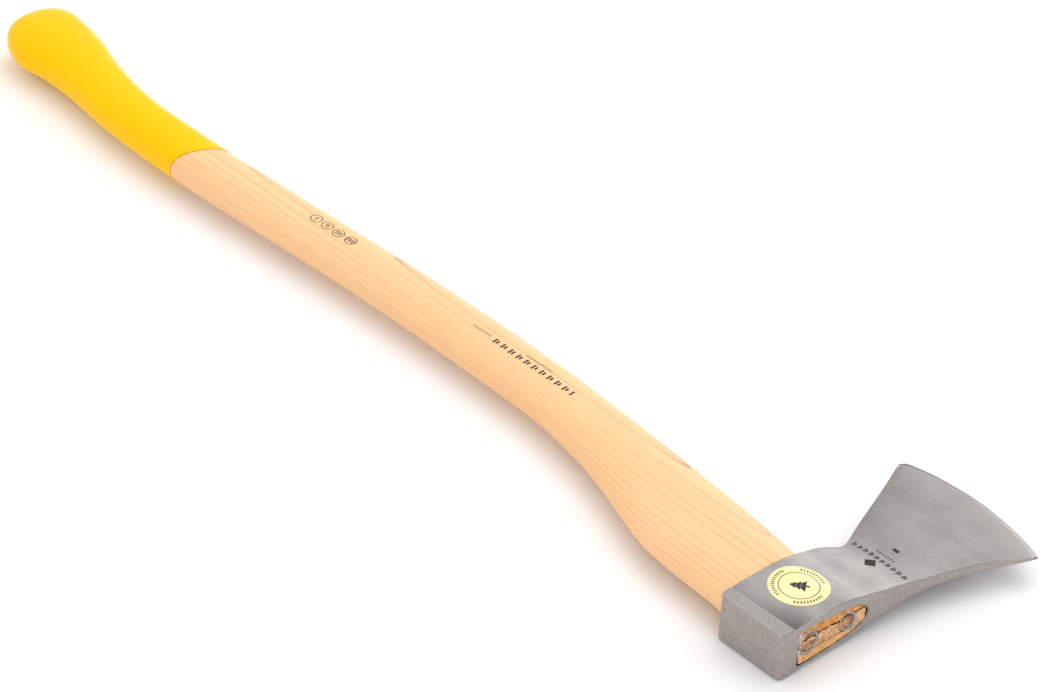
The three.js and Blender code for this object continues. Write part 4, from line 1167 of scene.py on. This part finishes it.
def film(name, shapes, surface, lift, thick, max_edge=1.2):
    """closed thin film over a surface; each shape is a list of (x, y) corners
    of a convex polygon, or of quads that share corners"""
    bm = bmesh.new()
    for shape in shapes:
        vs = [bm.verts.new((p[0], p[1], 0.0)) for p in shape]
        bm.faces.new(vs)
    bmesh.ops.remove_doubles(bm, verts=bm.verts, dist=0.002)
    for _ in range(6):
        long_edges = [e for e in bm.edges if e.calc_length() > max_edge]
        if not long_edges:
            break
        bmesh.ops.subdivide_edges(bm, edges=long_edges, cuts=1, use_grid_fill=True)
    bmesh.ops.triangulate(bm, faces=[f for f in bm.faces if len(f.verts) > 4])
    xy = np.array([v.co[:2] for v in bm.verts])
    z = surface(xy[:, 0], xy[:, 1])
    for v, h in zip(bm.verts, z):
        v.co.z = h + lift
    bmesh.ops.recalc_face_normals(bm, faces=bm.faces)
    for f in bm.faces:
        if f.normal.z < 0:
            f.normal_flip()
    top = list(bm.faces)
    ret = bmesh.ops.duplicate(bm, geom=list(bm.verts) + list(bm.edges) + top)
    vmap = ret["vert_map"]
    new_faces = [g for g in ret["geom"] if isinstance(g, bmesh.types.BMFace)]
    boundary = [e for f in top for e in f.edges if len([q for q in e.link_faces]) == 1]
    seen = set()
    for e in boundary:
        if e.index in seen and e.index != -1:
            continue
        a, b = e.verts
        a2, b2 = vmap[a], vmap[b]
        f = e.link_faces[0]
        loop = [l for l in f.loops if l.edge == e][0]
        if loop.vert == a:
            bm.faces.new((b, a, a2, b2))
        else:
            bm.faces.new((a, b, b2, a2))
    for f in new_faces:
        f.normal_flip()
    for v in {vmap[v] for f in top for v in f.verts}:
        v.co.z -= thick
    bm.normal_update()
    me = bpy.data.meshes.new(name)
    bm.to_mesh(me)
    bm.free()
    ob = bpy.data.objects.new(name, me)
    scene.collection.objects.link(ob)
    co = np.zeros(len(me.vertices) * 3, np.float32)
    me.vertices.foreach_get("co", co)
    me.vertices.foreach_set("co", to_row(co.reshape(-1, 3)).astype(np.float32).ravel())
    me.update()
    return ob


def disc(cx, cy, r, n=72, rings=12):
    quads = []
    for k in range(rings):
        r0, r1 = r * k / rings, r * (k + 1) / rings
        for i in range(n):
            a, b = 2 * math.pi * i / n, 2 * math.pi * (i + 1) / n
            p = lambda rr, t: (cx + rr * math.cos(t), cy + rr * math.sin(t))
            quads.append([p(r1, a), p(r1, b), (cx, cy)] if k == 0 else [p(r0, a), p(r1, a), p(r1, b), p(r0, b)])
    return quads


def annulus(cx, cy, r0, r1, n=64, a0=0.0, a1=2 * math.pi, skip=None):
    out = []
    for i in range(n):
        a, b = a0 + (a1 - a0) * i / n, a0 + (a1 - a0) * (i + 1) / n
        p = lambda rr, t: (cx + rr * math.cos(t), cy + rr * math.sin(t))
        out.append([p(r0, a), p(r1, a), p(r1, b), p(r0, b)])
    return out


def bar(cx, cy, along, across, ang):
    ca, sa = math.cos(ang), math.sin(ang)
    pts = [(-along / 2, -across / 2), (along / 2, -across / 2), (along / 2, across / 2), (-along / 2, across / 2)]
    return [(cx + a * ca - b * sa, cy + a * sa + b * ca) for a, b in pts]


label = film("label_disc", disc(LABEL_X, LABEL_Y, LABEL_R), cheek_z, 0.16, 0.18, 2.0)
P = verts_mm(label)
attribute(label, "rim", smooth(LABEL_R - 0.8, LABEL_R - 0.1, np.hypot(P[:, 0] - LABEL_X, P[:, 1] - LABEL_Y)))
finish_piece(label, "label", make_label(), 60)

M_PRINT = make_ink("label_ink", srgb(24, 22, 20), srgb(60, 54, 44), 0.15)
M_BRANDLESS = make_ink("handle_ink", srgb(16, 13, 12), srgb(52, 40, 30), 0.3)
M_ETCH = make_ink("cheek_etch", srgb(24, 21, 20), srgb(62, 57, 55), 0.5, 0.4)

# label print: a thin circle, three arcs of ticks and a plain fir tree.
# "up" on the label points toward the heel side and poll of the head.
UP = math.radians(128)
shapes = annulus(LABEL_X, LABEL_Y, 0.645 * LABEL_R, 0.675 * LABEL_R, 96)
for mid_deg, count in ((128, 13), (8, 10), (248, 10)):
    for i in range(count):
        a = math.radians(mid_deg + (i - (count - 1) / 2) * 7.2)
        rr = 0.835 * LABEL_R
        shapes.append(bar(LABEL_X + rr * math.cos(a), LABEL_Y + rr * math.sin(a), 2.3, 0.9, a))


def local(u, v, s=1.0):
    """u across, v up, about the middle of the label"""
    ca, sa = math.cos(UP), math.sin(UP)
    return (LABEL_X + (v * ca + u * sa) * s, LABEL_Y + (v * sa - u * ca) * s)


for (w0, w1, b, t) in ((5.3, 2.7, -4.4, -1.25), (4.2, 1.9, -1.1, 1.75), (3.0, 0.2, 1.9, 6.2), (0.8, 0.8, -6.8, -4.55)):
    shapes.append([local(-w0, b), local(w0, b), local(w1, t), local(-w1, t)])
tree = film("label_print", shapes, cheek_z, 0.20, 0.06, 1.6)
finish_piece(tree, "label", M_PRINT, 60, replaces=False)

# handle marks: four plain rings, and rows of ticks where the real tool is printed
shapes = []
for k, (cx, cy) in enumerate(((63.7, 499.1), (64.1, 488.9), (64.3, 478.4), (65.1, 467.6))):
    shapes += annulus(cx, cy, 3.75, 4.35, 40)
    for j in range(k + 1):
        off = (j - k / 2) * 1.7
        shapes.append(bar(cx, cy + off, 4.0, 0.8, 0.0))
row = [(66.9 + 1.0 * f, 331.5 - 70.5 * f) for f in np.linspace(0, 1, 31)]
for i, (x, y) in enumerate(row):
    if i % 3 == 2:
        continue
    shapes.append(bar(x, y, 4.9 if i % 3 == 0 else 3.4, 1.45, 0.0))
for a, b, n in (((67.2, 352.0), (67.9, 337.0), 10), ((71.9, 307.0), (73.2, 285.5), 14)):
    for f in np.linspace(0, 1, n):
        shapes.append(bar(a[0] + (b[0] - a[0]) * f, a[1] + (b[1] - a[1]) * f, 1.7, 0.6, 0.0))
marks = film("handle_marks", shapes, handle_z, 0.035, 0.10, 1.4)
finish_piece(marks, "handle", M_BRANDLESS, 60, replaces=False)

# cheek marks: a row of ticks across the waist, a short row and a diamond
shapes = []
for i, f in enumerate(np.linspace(0, 1, 29)):
    if i % 3 == 2:
        continue
    shapes.append(bar(106.9 + 0.8 * f, 45.6 - 44.4 * f, 4.2 if i % 3 == 0 else 3.0, 1.1, 0.0))
for f in np.linspace(0, 1, 7):
    shapes.append(bar(113.3, 31.0 - 13.6 * f, 2.6, 0.8, 0.0))
shapes.append(bar(123.0, 24.4, 3.0, 4.6, 0.0))
shapes.append([(94.6, 24.3), (99.6, 19.6), (104.6, 24.3), (99.6, 29.0)])
etch = film("cheek_marks", shapes, cheek_z, 0.03, 0.09, 1.4)
finish_piece(etch, "head", M_ETCH, 60, replaces=False)

# ---------------------------------------------------------------------------
# floor, light and camera
# ---------------------------------------------------------------------------
floor = object_from("floor", [(-9, -9, -0.0004), (9, -9, -0.0004), (9, 9, -0.0004), (-9, 9, -0.0004)], [(0, 1, 2, 3)])
F = Mat("floor_paper")
fn = F.noise(F.mapping(scale=(3, 3, 3)), 1.0, 4.0, 0.5)
F.link(F.mix(F.range(fn, 0.3, 0.7), (0.93, 0.93, 0.93, 1), (0.95, 0.95, 0.95, 1)), F.b.inputs["Base Color"])
F.b.inputs["Roughness"].default_value = 0.9
F.b.inputs["Specular IOR Level"].default_value = 0.1
floor.data.materials.append(F.m)

world = bpy.data.worlds.new("studio")
scene.world = world
world.use_nodes = True
bg = world.node_tree.nodes.get("Background") or world.node_tree.nodes.new("ShaderNodeBackground")
bg.inputs["Color"].default_value = (1.0, 1.0, 1.0, 1.0)
bg.inputs["Strength"].default_value = 0.98


def area(name, loc, target, size, power, color=(1, 1, 1)):
    d = bpy.data.lights.new(name, "AREA")
    d.shape = "RECTANGLE"
    d.size, d.size_y = size
    d.energy = power
    d.color = color
    o = bpy.data.objects.new(name, d)
    scene.collection.objects.link(o)
    o.location = loc
    o.rotation_euler = (Vector(target) - Vector(loc)).to_track_quat("-Z", "Y").to_euler()
    return o


area("overhead_softbox", (0.75, 0.15, 2.3), (0, 0, 0), (1.8, 1.8), 14)
area("side_softbox", (2.52, 0.55, 1.00), (0, 0.1, 0), (1.2, 0.5), 15)

R = np.array([[0.72835238, -0.68246183, 0.06122636], [0.38472414, 0.48125648, 0.78764176], [0.56700102, 0.55012549, -0.61308384]])
cam_data = bpy.data.cameras.new("camera")
cam_data.sensor_fit = "HORIZONTAL"
cam_data.sensor_width = 36.0
cam_data.lens = 8000.0 / 1050.0 * 36.0
cam_data.clip_start, cam_data.clip_end = 0.1, 60.0
camera = bpy.data.objects.new("camera", cam_data)
scene.collection.objects.link(camera)
loc = to_row([-2822.447, -2498.488, 3148.714])
m = Matrix.Identity(4)
for i in range(3):
    m[i][0], m[i][1], m[i][2], m[i][3] = R[0][i], R[1][i], -R[2][i], loc[i]
camera.matrix_world = m
scene.camera = camera
scene.view_settings.view_transform = "Standard"
scene.view_settings.look = "None"
